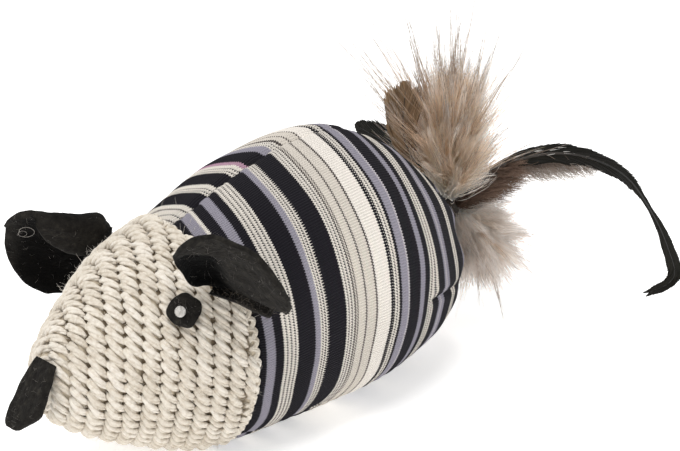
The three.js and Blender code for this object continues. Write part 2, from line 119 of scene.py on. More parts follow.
# Ears, eyes and nose, as they sit on the skin
EAR_LENGTH = 28.5
EAR_WIDTH = 31.5
EAR_ROOT_WIDTH = 16
EAR_CUP_RADIUS = 24
EAR_LEFT = {"x": -26, "angle": -57.5, "twist": 43, "lean": -6, "sweep": 12.5}
EAR_LEFT_FORM = {"front": 1.25, "rear": 0.75, "reach": 1, "root": 0, "lip": 3.9, "flap": 0, "bowl": 3}
EAR_RIGHT = {"x": -26, "angle": 65, "twist": 8, "lean": 43, "sweep": -5}
EAR_RIGHT_FORM = {"front": 0.9, "rear": 0.9, "reach": 0.93, "root": 0.24, "lip": 0, "flap": 13.5, "bowl": 0}
EAR_FOLD_RADIUS = 1.6
EAR_FOLD_TURN = 2.7
EAR_FLANGE = 0.1
EAR_FLANGE_ROWS = 6
EAR_ROWS = 44
EAR_COLUMNS = 45
EAR_FLAP_COLUMNS = 17
EAR_ROOT_RISE = 2.4
EAR_LIFT = 1.25
EYE_LEFT = {"x": -40, "angle": -54}
EYE_RIGHT = {"x": -40, "angle": 72}
EYE_LIFT = 1.15
EYE_RADIUS = 4.1
EYE_THICKNESS = 1.6
KNOT_TURNS = 9
NOSE_ROOT_X = -66.6
NOSE_ROOT_Y = -2
NOSE_LENGTH = 18
NOSE_SLOPE = math.radians(52)
NOSE_LIFT = 1.45

# Tail: bound root, fur and feathers
TAIL = np.array((68, 0, 36), float)
TAIL_PITCH = math.radians(30)
TAIL_AHEAD = np.array((math.cos(TAIL_PITCH), 0, math.sin(TAIL_PITCH)))
TAIL_ABOVE = np.array((-math.sin(TAIL_PITCH), 0, math.cos(TAIL_PITCH)))
TAIL_SIDE = np.array((0, 1, 0))
BINDING_TURNS = 24
PLUME_ROOT = 9.45
ROOT_SPREAD = 2.4
FEATHER_HEADING = math.radians(26)
FEATHER_REACH = 75
FEATHER_RISE = 11.5
FEATHER_DROP = 35
FEATHER_TILT = 0.9
SPINE_STEPS = 240
BARB_RADIUS = 0.42
BARBS_IN_BUNCH = 14

# Layers of fur in locks: the form of each layer in the order of COAT, and the side it keeps to, if any
COAT = (
    "tone", "clumps", "each", "steps", "radius", "length", "short",
    "lean", "close", "lift", "bow", "loose", "turn",
)
UPPER_COATS = {
    "under": ("under", 380, 26, 6, 0.085, 28, 0.7, (6, 64), 0.55, 0.1, 2, 1.5),
    "guard": ("guard", 66, 20, 9, 0.085, 41, 0.65, (5, 56), 0.45, 0.1, 3.5, 0.8),
    "wisp": ("guard", 30, 8, 10, 0.08, 51, 0.75, (5, 40), 0.4, 0.06, 5, 0.4),
    "side": ("guard", 30, 6, 10, 0.07, 56, 0.75, (38, 62), 0.2, 0.06, 5, 0.5),
    "stray": ("guard", 170, 1, 9, 0.07, 50, 0.7, (10, 72), 0.35, 0.04, 5, 1.5),
    "far": ("guard", 22, 4, 10, 0.1, 58, 0.8, (34, 60), 0.1, 0.05, 3, 0.6, (-1.5, -0.1)),
}
LOWER_COATS = {
    "under": ("grey", 340, 26, 6, 0.085, 21, 0.7, (5, 104), 0, 0.12, 1.4, 1.4),
    "guard": ("soft", 64, 14, 8, 0.075, 25, 0.7, (5, 90), 0, 0.2, 2.2, 0.7),
    "edge": ("guard", 30, 9, 8, 0.08, 27, 0.75, (10, 85), 0, 0.2, 2.2, 0.5),
}

# Colours of hairs at the root, middle and tip, how much hairs differ, and how far light enters them
FUR_TONES = {
    "under": ((254, 246, 232), (254, 232, 196), (246, 206, 158), 0.3, 0.9),
    "guard": ((244, 222, 190), (204, 164, 122), (92, 68, 49), 0.4, 0.4),
    "grey": ((254, 249, 242), (250, 240, 228), (232, 206, 182), 0.3, 0.9),
    "soft": ((252, 245, 236), (238, 218, 196), (172, 142, 116), 0.4, 0.7),
}
LINT_TONES = {"lint": (120, 114, 108), "root": (96, 84, 68)}

# Sides of a hair, waves in a random relief, and the floor's reach and lines
HAIR_SIDES = 3
RELIEF_WAVES = 7
FLOOR_REACH = 3000
FLOOR_LINES = 9


# A linear colour from its red, green and blue on the 0 to 255 screen scale
def paint(red, green, blue):
    def linear(value):
        share = value / 255
        return share / 12.92 if share <= 0.04045 else ((share + 0.055) / 1.055) ** 2.4
    return (linear(red), linear(green), linear(blue), 1)


YARNS = {
    "black": paint(27, 25, 31),
    "lavender": paint(151, 147, 158),
    "pale": paint(198, 192, 196),
    "cream": paint(226, 219, 209),
    "ecru": paint(217, 209, 198),
    "white": paint(240, 233, 224),
    "taupe": paint(80, 73, 70),
    "plum": paint(178, 142, 160),
}


# Cream lines with dashed lines between them, by their widths
def ruled(*widths):
    return [("black/cream" if number % 2 else "cream", width) for number, width in enumerate(widths)]


# Stripes from the neck to the tail: yarn and width; two yarns share each wale, the first as a dash
FRONT_LEFT = [
    ("black", 0.8), ("lavender", 2.8), ("cream", 0.9), ("black", 2.9), ("lavender", 2.4), ("black", 2.3),
    *ruled(0.8, 0.35, 0.8, 0.35, 0.75, 0.4, 0.55), ("black", 5), ("lavender", 1.6),
    *ruled(0.45, 0.35, 0.5, 0.35, 0.5, 0.35), ("black", 5.6), *ruled(0.6, 0.35, 0.6, 0.35, 0.6),
    ("taupe", 0.45), ("ecru", 0.4), ("taupe", 0.35),
]
FRONT_RIGHT = [
    ("cream", 1.4), ("taupe", 0.4), *ruled(1.6, 0.4, 1.6), ("taupe", 0.4), ("cream", 1.7),
    ("black", 5), *ruled(0.6, 0.35, 0.6, 0.35, 1.3), ("black", 5), *ruled(0.8, 0.35, 0.8, 0.35, 1.3),
    ("plum", 1.6), ("black", 5.7), ("lavender", 3), *ruled(0.6, 0.35, 0.6, 0.35, 0.6), ("taupe", 1),
]
REAR = [
    ("ecru", 2.4), ("taupe", 0.4), ("ecru", 2.95), ("taupe", 0.55), ("white", 4.7), ("black", 0.45),
    ("black/cream", 0.4), ("black", 0.45), *ruled(0.7, 0.35, 0.65), ("black", 1), ("lavender", 2.5),
    ("pale", 0.5), ("black", 4.6), ("lavender", 2), ("black", 2.2), *ruled(0.75, 0.45, 0.75, 0.45, 0.8),
    ("black", 3.5), ("lavender", 1), ("pale/lavender", 0.6), ("lavender", 1.6), ("black", 5),
    *ruled(1.2, 0.4, 1), ("black", 6), ("lavender", 3), ("black", 20),
]
STRIPES_LEFT = FRONT_LEFT + REAR
STRIPES_RIGHT = FRONT_RIGHT + REAR
STRIPE_START_LEFT = -30
STRIPE_START_RIGHT = -32
RAMP_STOPS = 12


# Smooth step from 0 at low to 1 at high
def ease(low, high, value):
    share = np.clip((value - low) / (high - low), 0, 1)
    return share * share * (3 - 2 * share)


def unit(vectors):
    return vectors / np.maximum(np.linalg.norm(vectors, axis=-1, keepdims=True), 1e-9)


# Soft random relief of about -1 to 1, with bumps of about the given size
def relief(points, size, seed):
    rng = np.random.default_rng(seed)
    directions = unit(rng.normal(size=(RELIEF_WAVES, 3)))
    directions = directions * (2 * math.pi / size) * rng.uniform(0.6, 1.5, (RELIEF_WAVES, 1))
    phases = rng.uniform(0, 2 * math.pi, RELIEF_WAVES)
    return np.sin(points @ directions.T + phases).mean(-1) * 1.6


# Two grids of values: one grows from row to row, the other from column to column
def grid(rows, columns):
    return np.meshgrid(rows, columns, indexing="ij")


# Quads of a grid of points, turned so that they face row direction cross column direction
def grid_faces(rows, columns, wrap=False):
    spans = columns if wrap else columns - 1
    i, j = grid(np.arange(rows - 1), np.arange(spans))
    a = i * columns + j
    b = i * columns + (j + 1) % columns
    return np.stack([a, a + columns, b + columns, b], -1).reshape(-1, 4)


# A closed sheet between an outer and an inner grid of points
def shell(outer, inner, wrap=False):
    rows, columns = outer.shape[:2]
    points = np.concatenate([outer.reshape(-1, 3), inner.reshape(-1, 3)])
    step = rows * columns
    front = grid_faces(rows, columns, wrap)
    faces = [front, front[:, ::-1] + step]
    edge = np.arange(columns) if wrap else np.arange(columns - 1)
    following = (edge + 1) % columns
    last = (rows - 1) * columns
    faces.append(np.stack([edge, following, following + step, edge + step], -1))
    faces.append(np.stack([edge, edge + step, following + step, following], -1) + last)
    if not wrap:
        side = np.arange(rows - 1) * columns
        below = side + columns
        faces.append(np.stack([side, side + step, below + step, below], -1))
        faces.append(np.stack([side, below, below + step, side + step], -1) + columns - 1)
    return points, faces


# Closed tubes round many lines at once; across sets which way their flat side faces
def tubes(lines, radii, sides, across, flat=1):
    count, steps = lines.shape[:2]
    along = unit(np.gradient(lines, axis=1))
    side = unit(np.cross(along, np.broadcast_to(across, lines.shape)))
    top = np.cross(side, along)
    turn = 2 * math.pi * np.arange(sides) / sides
    radii = np.broadcast_to(radii, (count, steps))[:, :, None, None]
    ring = side[:, :, None] * np.cos(turn)[:, None] + flat * top[:, :, None] * np.sin(turn)[:, None]
    points = lines[:, :, None] + radii * ring
    starts = np.arange(count)[:, None, None] * steps * sides
    walls = grid_faces(steps, sides, wrap=True)[None] + starts
    cap = np.arange(sides)[None, None]
    near = (cap + starts).reshape(-1, sides)
    far = (cap[:, :, ::-1] + starts + (steps - 1) * sides).reshape(-1, sides)
    return points.reshape(-1, 3), [walls.reshape(-1, 4), near, far]


# Values for each point of many tubes: share of the length, and one number per tube
def tube_values(count, steps, sides, numbers):
    share = np.tile(np.repeat(np.linspace(0, 1, steps), sides), count)
    return share, np.repeat(numbers, steps * sides)


def joined(parts):
    points = []
    faces = []
    start = 0
    for part_points, part_faces in parts:
        points.append(part_points)
        faces.extend(face + start for face in part_faces)
        start += len(part_points)
    return np.concatenate(points), faces


# A mesh object from points in millimetres, faces, a material and values for each point
def piece(name, points, faces, material, **values):
    mesh = bpy.data.meshes.new(name)
    points = np.asarray(points, np.float32).reshape(-1, 3) * MM
    sizes = np.concatenate([np.full(len(face), face.shape[1]) for face in faces])
    corners = np.concatenate([face.ravel() for face in faces])
    mesh.vertices.add(len(points))
    mesh.vertices.foreach_set("co", points.ravel())
    mesh.loops.add(len(corners))
    mesh.loops.foreach_set("vertex_index", corners.astype(np.int32))
    mesh.polygons.add(len(sizes))
    mesh.polygons.foreach_set("loop_start", (np.cumsum(sizes) - sizes).astype(np.int32))
    mesh.polygons.foreach_set("use_smooth", np.ones(len(sizes), bool))
    mesh.update(calc_edges=True)
    for key, numbers in values.items():
        attribute = mesh.attributes.new(key, "FLOAT", "POINT")
        attribute.data.foreach_set("value", np.asarray(numbers, np.float32).ravel())
    mesh.materials.append(material)
    made = bpy.data.objects.new(name, mesh)
    bpy.context.scene.collection.objects.link(made)
    return made


# Many hairs as one piece, thick at the root and fine at the tip
def hair_piece(name, lines, radius, material, tint):
    count, steps = lines.shape[:2]
    taper = radius * (1 - 0.75 * np.linspace(0, 1, steps) ** 1.5)
    points, faces = tubes(lines, taper, HAIR_SIDES, (0.31, 0.47, 0.83))
    share, number = tube_values(count, steps, HAIR_SIDES, tint)
    return piece(name, points, faces, material, share=share, tint=number)


# Lines bent between a start, a pull and an end, at shares of their length
def bends(start, pull, end, share):
    rest = 1 - share
    return rest ** 2 * start[:, None] + 2 * share * rest * pull[:, None] + share ** 2 * end[:, None]


# One outline of the body at station number t, as a smooth curve through the stations
def outline(column, t):
    values = STATIONS[:, column]
    slopes = np.gradient(values)
    i = np.clip(np.floor(t).astype(int), 0, LAST_STATION - 1)
    f = t - i
    g = 1 - f
    first = values[i] * (1 + 2 * f) * g * g + slopes[i] * f * g * g
    return first + values[i + 1] * (1 + 2 * g) * f * f - slopes[i + 1] * g * f * f


def mean_radius(t):
    return outline(1, t) / 2 + (outline(2, t) - outline(3, t)) / 4


# A point of the skin at station t, turned by an angle from the spine, at a height above the surface
def skin(t, angle, height=0):
    before = np.maximum(t - 0.01, 0)
    after = np.minimum(t + 0.01, LAST_STATION)
    along = outline(0, after) - outline(0, before)
    outward = mean_radius(after) - mean_radius(before)
    length = np.hypot(along, outward)
    grow = height * along / length
    half_width = outline(1, t) + grow
    half_height = (outline(2, t) - outline(3, t)) / 2 + grow
    middle = (outline(2, t) + outline(3, t)) / 2
    x = outline(0, t) - height * outward / length
    z = np.maximum(middle + half_height * np.cos(angle), np.maximum(-height, 0))
    return np.stack(np.broadcast_arrays(x, half_width * np.sin(angle), z), -1)


# The station number of a place along the body
def station_at(x):
    fine = np.linspace(0, LAST_STATION, 3201)
    return np.interp(x, outline(0, fine), fine)


# Station numbers in even steps along the side of the body
def even_steps(start, end, count):
    fine = np.linspace(start, end, 2000)
    step = np.hypot(np.diff(outline(0, fine)), np.diff(mean_radius(fine)))
    length = np.concatenate([[0], np.cumsum(step)])
    return np.interp(np.linspace(0, length[-1], count), length, fine)


# A seat on the skin: place, outward normal, and the directions along the body and round it
def seat(x, angle, lift):
    t = np.array(station_at(x))
    step = 0.02
    along = unit(skin(t + step, angle) - skin(t - step, angle))
    round_body = unit(skin(t, angle + step) - skin(t, angle - step))
    normal = unit(np.cross(along, round_body))
    return skin(t, angle) + lift * normal, normal, along, round_body


# A material made of nodes round one shader
class Finish:
    def __init__(self, name, **constants):
        self.material = bpy.data.materials.new(name)
        self.material.use_nodes = True
        self.tree = self.material.node_tree
        self.shader = self.tree.nodes["Principled BSDF"]
        for key, value in constants.items():
            self.shader.inputs[key.replace("_", " ")].default_value = value

    def feed(self, socket, value):
        if isinstance(value, bpy.types.NodeSocket):
            self.tree.links.new(value, socket)
        else:
            socket.default_value = value

    def node(self, kind, inputs, output=0, **settings):
        made = self.tree.nodes.new("ShaderNode" + kind)
        for key, value in settings.items():
            setattr(made, key, value)
        for key, value in inputs.items():
            self.feed(made.inputs[key], value)
        return made.outputs[output]

    def value(self, name):
        return self.node("Attribute", {}, 2, attribute_name=name)

    def math(self, operation, *numbers):
        return self.node("Math", dict(enumerate(numbers)), operation=operation)

    def mix(self, factor, first, second, blend="MIX"):
        return self.node("Mix", {0: factor, 6: first, 7: second}, 2, data_type="RGBA", blend_type=blend)

    def noise(self, scale, detail):
        place = self.node("TexCoord", {}, 3)
        return self.node("TexNoise", {"Vector": place, "Scale": scale, "Detail": detail})

    # A colour for a number from 0 to 1, by stops of place and colour
    def ramp(self, number, stops, interpolation="LINEAR"):
        made = self.tree.nodes.new("ShaderNodeValToRGB")
        band = made.color_ramp
        band.interpolation = interpolation
        band.elements[0].position, band.elements[0].color = stops[0]
        band.elements[1].position, band.elements[1].color = stops[-1]
        for place, colour in stops[1:-1]:
            band.elements.new(place).color = colour
        self.feed(made.inputs[0], number)
        return made.outputs[0]

    # The material, with its colour and fine relief from a height in units of depth millimetres
    def done(self, colour, height, depth):
        normal = self.node("Bump", {"Height": height, "Distance": depth * MM, "Strength": 1})
        self.feed(self.shader.inputs["Base Color"], colour)
        self.feed(self.shader.inputs["Normal"], normal)
        return self.material


# The colour of a stripe list at a place, for wales of even or odd number, a few stripes to each ramp
def stripe_colour(finish, place, stripes, start, odd):
    colour = YARNS["black"]
    for first in range(0, len(stripes), RAMP_STOPS):
        group = stripes[first:first + RAMP_STOPS]
        total = sum(width for _, width in group)
        stops = []
        at = 0
        for yarn, width in group:
            names = yarn.split("/")
            stops.append((at / total, YARNS[names[odd % len(names)]]))
            at += width
        share = finish.math("DIVIDE", finish.math("SUBTRACT", place, start), total)
        beyond = finish.math("GREATER_THAN", place, start)
        colour = finish.mix(beyond, colour, finish.ramp(share, stops, "CONSTANT"))
        start += total
    return colour


# Fine jersey: stripes with stitch-toothed edges, a rib for each wale and a V for each stitch, in relief and
# as painted shade
def jersey_finish(name, stripes, start):
    finish = Finish(name, Roughness=0.95, Sheen_Weight=0.03, Sheen_Roughness=0.5, Specular_IOR_Level=0.15)
    place = finish.value("stripe")
    wale = finish.value("wale")
    across = finish.math("PINGPONG", wale, 0.5)
    tooth = finish.math("MULTIPLY", finish.math("SUBTRACT", across, 0.25), COURSE * 1.3)
    fray = finish.math("MULTIPLY", finish.math("SUBTRACT", finish.noise(2400, 2), 0.5), 0.25)
    edge = finish.math("ADD", finish.math("ADD", place, tooth), fray)
    even = stripe_colour(finish, edge, stripes, start, 0)
    odd = stripe_colour(finish, edge, stripes, start, 1)
    beyond = finish.math("GREATER_THAN", finish.math("FRACT", wale), DASH)
    colour = finish.mix(beyond, even, odd)
    slant = finish.math("MULTIPLY", across, COURSE * 2)
    course = finish.math("DIVIDE", finish.math("ADD", place, slant), COURSE)
    stitch = finish.math("SINE", finish.math("MULTIPLY", course, 2 * math.pi))
    rib = finish.math("COSINE", finish.math("MULTIPLY", wale, 2 * math.pi))
    height = finish.math("ADD", finish.math("MULTIPLY", stitch, 0.7), rib)
    # Painted shade: darker in the hollows between the ribs and the stitches
    shade = finish.math("MULTIPLY_ADD", height, 0.09, 0.92)
    fuzz = finish.math("MULTIPLY_ADD", finish.noise(1100, 4), 0.16, 0.92)
    tone = finish.math("MULTIPLY", shade, fuzz)
    toned = finish.mix(1, colour, tone, "MULTIPLY")
    return finish.done(toned, finish.math("ADD", height, finish.noise(2200, 3)), 0.06)


# Wool yarn: cream, each stitch a little different, with fine fibres along it
def yarn_finish():
    finish = Finish(
        "yarn_wool", Roughness=0.95, Sheen_Weight=0.1, Sheen_Roughness=0.6, Specular_IOR_Level=0.2)
    colour = finish.ramp(finish.value("tint"), [
        (0, paint(213, 204, 190)),
        (0.5, paint(221, 213, 200)),
        (1, paint(229, 222, 211)),
    ])
    speck = finish.ramp(finish.noise(900, 5), [(0.3, paint(206, 194, 178)), (0.55, paint(255, 255, 255))])
    return finish.done(finish.mix(0.5, colour, speck, "MULTIPLY"), finish.noise(3200, 4), 0.12)


# The ground of the crochet, seen only through its holes: painted shade, dark between the rows, pale along
# them
def ground_finish():
    finish = Finish("yarn_ground", Roughness=1)
    colour = finish.ramp(finish.value("hole"), [(0.2, paint(206, 194, 174)), (0.9, paint(128, 114, 94))])
    return finish.done(colour, finish.noise(1500, 3), 0.3)


# Black wool felt: matted fibres, slightly grey where it is rubbed, with painted shade that darkens a hollow
def felt_finish():
    finish = Finish(
        "felt_black", Roughness=0.95, Sheen_Weight=0.03, Sheen_Roughness=0.45, Specular_IOR_Level=0.08)
    mottle = finish.ramp(finish.noise(700, 6), [
        (0.3, paint(23, 21, 20)),
        (0.6, paint(38, 36, 33)),
        (0.85, paint(60, 56, 50)),
    ])
    # Painted shade: depth is how much of the felt's colour is kept, nearly none in the hollow and under the
    # fold
    depth = finish.math("MULTIPLY_ADD", finish.value("shade"), -0.96, 1)
    height = finish.math("ADD", finish.noise(1800, 5), finish.noise(500, 3))
    return finish.done(finish.mix(1, mottle, depth, "MULTIPLY"), height, 0.35)


# Hair and fibres: colours from the root to the tip, and another tone for each hair
def hair_finish(name, colours, roughness, sheen, spread, soft=0):
    finish = Finish(
        name, Roughness=roughness, Sheen_Weight=sheen, Subsurface_Weight=soft,
        Subsurface_Radius=(1, 1, 1), Subsurface_Scale=3 * MM)
    stops = [(place, paint(*colour)) for place, colour in zip((0, 0.45, 1), colours)]
    along = finish.ramp(finish.value("share"), stops)
    shade = finish.math("MULTIPLY_ADD", finish.value("tint"), spread, 1 - spread / 2)
    patch = finish.math("MULTIPLY_ADD", finish.noise(220, 3), 0.5, 0.75)
    tone = finish.math("MULTIPLY", shade, patch)
    return finish.done(finish.mix(1, along, tone, "MULTIPLY"), finish.noise(2500, 2), 0.03)


# Feather vane: a dull sheen, and a tone that shifts from barb to barb
def plume_finish(name, dark, light, gloss):
    finish = Finish(name, Roughness=0.5, Specular_IOR_Level=0.26, Specular_Tint=gloss)
    patch = finish.math("ADD", finish.noise(300, 4), 0.4)
    tone = finish.math("MULTIPLY", finish.value("tint"), patch)
    return finish.done(finish.ramp(tone, [(0.1, dark), (0.9, light)]), finish.noise(4000, 3), 0.05)


# Plain cloth, wadding, thread or leaf: two tones in patches of the given scale, and relief
def mottled_finish(name, dark, light, scale, depth, roughness=0.95):
    finish = Finish(name, Roughness=roughness, Sheen_Weight=0.1)
    colour = finish.ramp(finish.noise(scale, 5), [(0.3, dark), (0.7, light)])
    return finish.done(colour, finish.noise(scale * 2, 4), depth)


# Where the crochet ends and the jersey begins: further forward over the spine
def neck_x(angle):
    return NECK_X - NECK_PEAK * np.exp(-((np.degrees(angle) - NECK_PEAK_ANGLE) / NECK_PEAK_WIDTH) ** 2)


# How far the stripes are drawn back from their place at an angle from the spine
def stripe_shift(x, angle):
    degrees = np.degrees(angle)
    spine = 3.5 * np.exp(-np.abs(degrees) / 20) * (1 + 0.3 * ease(10, 30, x))
    belly = 1.5 * ease(105, 132, np.abs(degrees))
    above = np.where(degrees > TUCK_ANGLE, np.exp(-(degrees - TUCK_ANGLE) / 14), 0)
    dart = 3 * above * ease(32, 37, x) * (1 - ease(46, 56, x))
    return spine + belly + np.where(degrees < 0, dart, 0)


# Relief of the jersey: ribs, drawn-in seams, a tuck above the near hip and gathers at the tail
def jersey_height(x, angle, edge, wale, points, seed):
    rib = RIB * np.cos(2 * math.pi * wale) * (1 - ease(52, 62, x))
    pucker = PUCKER_DEPTH * np.sin(2 * math.pi * x / PUCKER_LENGTH + seed) * np.exp(-edge / 4)
    seam = -SEAM_DEPTH * np.exp(-(edge / SEAM_WIDTH) ** 2) + pucker
    tuck_line = (np.degrees(angle) - TUCK_ANGLE) * 0.5
    tuck = -TUCK_DEPTH * np.exp(-(tuck_line / 1.2) ** 2) * ease(31, 36, x) * (1 - ease(46, 56, x))
    gather = GATHER_DEPTH * ease(46, 65, x) * np.cos(GATHERS * angle + 1.2 * np.sin(3 * angle + seed))
    neck = -0.7 * (1 - ease(0, 3, x - neck_x(angle)))
    soft = 0.35 * relief(points, 24, seed)
    return rib + seam + tuck + gather + neck + soft


def jersey_panel(name, node, start, end, material, seed):
    wales = round((end - start) * BODY_RADIUS / WALE)
    angles = np.linspace(start, end, wales * COLUMNS_PER_WALE + 1)
    rows = even_steps(station_at(NECK_X + 0.15), LAST_STATION, PANEL_ROWS)
    place, angle = grid((rows - rows[0]) / (LAST_STATION - rows[0]), angles)
    first = station_at(neck_x(angle) + 0.15)
    t = first + place * (LAST_STATION - first)
    x = outline(0, t)
    edge = np.minimum(angle - start, end - angle) * outline(1, t)
    gap = 0.15 / outline(1, t)
    angle_in = np.clip(angle, start + gap, end - gap)
    wale = np.broadcast_to(np.arange(len(angles)) / COLUMNS_PER_WALE, t.shape)
    height = jersey_height(x, angle, edge, wale, skin(t, angle), seed)
    height = np.minimum(height, 0.9)
    outer = skin(t, angle_in, height)
    inner = skin(t, angle_in, -JERSEY - 0.2)
    turned = np.where(angle > math.pi, angle - 2 * math.pi, angle)
    stripe = x - stripe_shift(x, turned)
    points, faces = shell(outer, inner)
    values = {"stripe": np.tile(stripe.ravel(), 2), "wale": np.tile(wale.ravel(), 2)}
    made = piece(name, points, faces, material, **values)
    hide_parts(node)
    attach(made, "body")


def jersey_panels():
    left = jersey_finish("jersey_near", STRIPES_LEFT, STRIPE_START_LEFT)
    right = jersey_finish("jersey_far", STRIPES_RIGHT, STRIPE_START_RIGHT)
    jersey_panel("jersey_side_left", "side_panel_left", -BASE_SEAM, 0, left, 1)
    jersey_panel("jersey_side_right", "side_panel_right", 0, BASE_SEAM, right, 2)
    jersey_panel("jersey_base", "base_panel", BASE_SEAM, 2 * math.pi - BASE_SEAM, left, 3)


# The crochet's row coordinate of a point: equal along one row, growing towards the neck
def row_level(points):
    x, y, z = np.moveaxis(points, -1, 0)
    lean = ROW_YAW * np.where(y < 0, y, FAR_TURN * np.sin(np.maximum(y, 0) / FAR_TURN))
    return x - lean - ROW_PITCH_LEAN * (z - ROW_MIDDLE)


# Rows and angles of the face as a table of station numbers
class FaceRows:
    def __init__(self):
        self.angles = np.linspace(-math.pi, math.pi, 361)
        stations = np.linspace(0, station_at(NECK_X + 2), 700)
        t, angle = grid(stations, self.angles)
        level = np.maximum.accumulate(row_level(skin(t, angle)) + 1e-4 * t, 0)
        self.levels = np.linspace(FIRST_ROW - 6, 0, 500)
        self.table = np.stack([np.interp(self.levels, column, stations) for column in level.T], 1)
        self.first = level[0]
        neck = station_at(neck_x(self.angles))
        self.last = np.array([np.interp(at, stations, column) for at, column in zip(neck, level.T)])

    # The row level at the neck
    def edge(self, angle):
        turned = (angle + math.pi) % (2 * math.pi) - math.pi
        return np.interp(turned, self.angles, self.last)

    # Station numbers at row levels and angles
    def station(self, level, angle):
        angle = (angle + math.pi) % (2 * math.pi) - math.pi
        step = self.levels[1] - self.levels[0]
        i = np.clip((level - self.levels[0]) / step, 0, len(self.levels) - 1.001)
        j = np.clip((angle + math.pi) / (2 * math.pi) * (len(self.angles) - 1), 0, len(self.angles) - 1.001)
        low, left = i.astype(int), j.astype(int)
        f, g = i - low, j - left
        upper = self.table[low, left] * (1 - g) + self.table[low, left + 1] * g
        lower = self.table[low + 1, left] * (1 - g) + self.table[low + 1, left + 1] * g
        return upper * (1 - f) + lower * f

    def point(self, level, angle, height):
        return skin(self.station(level, angle), angle, height)

    # Angles of the stitches of one row, in even steps along the part of it that is on the face
    def stitches(self, level, rng):
        fine = np.linspace(math.pi, -math.pi, 1441)
        points = self.point(np.full(fine.shape, level), fine, 0)
        turned = np.clip((fine + math.pi) / (2 * math.pi) * 360, 0, 360).astype(int)
        on_face = (level > self.first[turned] + 0.5) & (level < self.last[turned] - 0.08 * ROW_PITCH)
        steps = np.linalg.norm(np.diff(points, axis=0), axis=1) * on_face[1:]
        length = np.concatenate([[0], np.cumsum(steps)])
        count = int(round(length[-1] / STITCH_SPACING))
        if count < 3:
            return np.zeros(0)
        places = (np.arange(count) + 0.5) * length[-1] / count + rng.normal(0, 0.1, count)
        return np.interp(places, length, fine)


# How the row level grows along the body and round it, and the arc of one radian
def level_slopes(t, angle):
    step = 0.01
    ahead = skin(t + step, angle)
    behind = skin(np.maximum(t - step, 0), angle)
    along = (row_level(ahead) - row_level(behind)) / np.linalg.norm(ahead - behind, axis=-1)
    over = skin(t, angle + step)
    under = skin(t, angle - step)
    arc = np.linalg.norm(over - under, axis=-1)
    return along, (row_level(over) - row_level(under)) / arc, arc / (2 * step)


# Twisted plies round each strand
def plied(lines, across, radii, plies, turn_length):
    along = unit(np.gradient(lines, axis=1))
    side = unit(np.cross(along, np.broadcast_to(across, lines.shape)))
    top = np.cross(side, along)
    steps = np.linalg.norm(np.diff(lines, axis=1), axis=2)
    length = np.concatenate([np.zeros((len(lines), 1)), np.cumsum(steps, 1)], 1)
    offset = 0.5 * np.broadcast_to(radii, lines.shape[:2])[:, :, None]
    strands = []
    for ply in range(plies):
        turn = 2 * math.pi * (ply / plies + length / turn_length)[:, :, None]
        strands.append(lines + offset * (side * np.cos(turn) + top * np.sin(turn)))
    return np.concatenate(strands)


# The middle line of each stitch: from the nose side of its row it swings down and over to the neck side
def stitch_lines(rows, level, angle, rng):
    count = len(level)
    share = np.linspace(0, 1, STITCH_STEPS)
    corners = np.array([(-0.43, -2.8), (-0.36, -1.2), (0.04, 0.6), (0.44, 2.5)])
    rest = 1 - share
    weights = np.stack([rest ** 3, 3 * share * rest ** 2, 3 * share ** 2 * rest, share ** 3], -1)
    across, forward = (weights @ corners).T
    along, around, arc = level_slopes(rows.station(level, angle), angle)
    slope = np.maximum(np.hypot(along, around), LEAST_SLOPE)
    across = across * (ROW_PITCH / slope)[:, None] + rng.normal(0, 0.12, (count, 1))
    forward = forward * rng.normal(1, 0.07, (count, 1)) + rng.normal(0, 0.12, (count, 1))
    turn = (across * around[:, None] - forward * along[:, None]) / slope[:, None]
    angles = angle[:, None] + turn / np.maximum(arc, 3)[:, None]
    levels = np.minimum(level[:, None] + across * slope[:, None], rows.edge(angles) - 0.5)
    swell = np.sin(math.pi * (0.04 + 0.9 * share)) ** 0.8
    height = -1 + (1.25 + rng.normal(0, 0.08, (count, 1))) * swell
    lines = rows.point(levels, angles, height)
    return lines, unit(rows.point(levels, angles, height + 1) - lines)


# A piece of plied yarn along many lines, with one tint for each line
def yarn_piece(name, lines, normal, radii, sides, tint, material):
    strands = plied(lines, normal, radii, PLIES, PLY_TURN)
    radii = np.tile(np.broadcast_to(radii, lines.shape[:2]), (PLIES, 1))
    points, faces = tubes(strands, PLY_SHARE * radii, sides, np.concatenate([normal] * PLIES))
    points[:, 2] = np.maximum(points[:, 2], 0.02)
    tint = tube_values(len(strands), lines.shape[1], sides, np.tile(tint, PLIES))[1]
    made = piece(name, points, faces, material, tint=tint)
    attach(made, "body")


def face_stitches(rows, material):
    rng = np.random.default_rng(11)
    angle_list, level_list = [], []
    for number in (-0.8, *range(ROW_COUNT)):
        level = FIRST_ROW + (number + 0.5) * ROW_PITCH
        angle = rows.stitches(level, rng)
        angle_list.append(angle)
        level_list.append(np.full(len(angle), level))
    angle = np.concatenate(angle_list)
    level = np.concatenate(level_list)
    lines, normal = stitch_lines(rows, level, angle, rng)
    share = np.linspace(0, 1, STITCH_STEPS)
    profile = np.interp(share, (0, 0.15, 0.5, 0.8, 1), (0.7, 1.04, 1.08, 0.92, 0.55))
    radii = STITCH_RADIUS * profile * rng.normal(1, 0.05, (len(level), 1))
    tint = rng.uniform(0, 1, len(level))
    yarn_piece("crochet_stitches", lines, normal, radii, 8, tint, material)


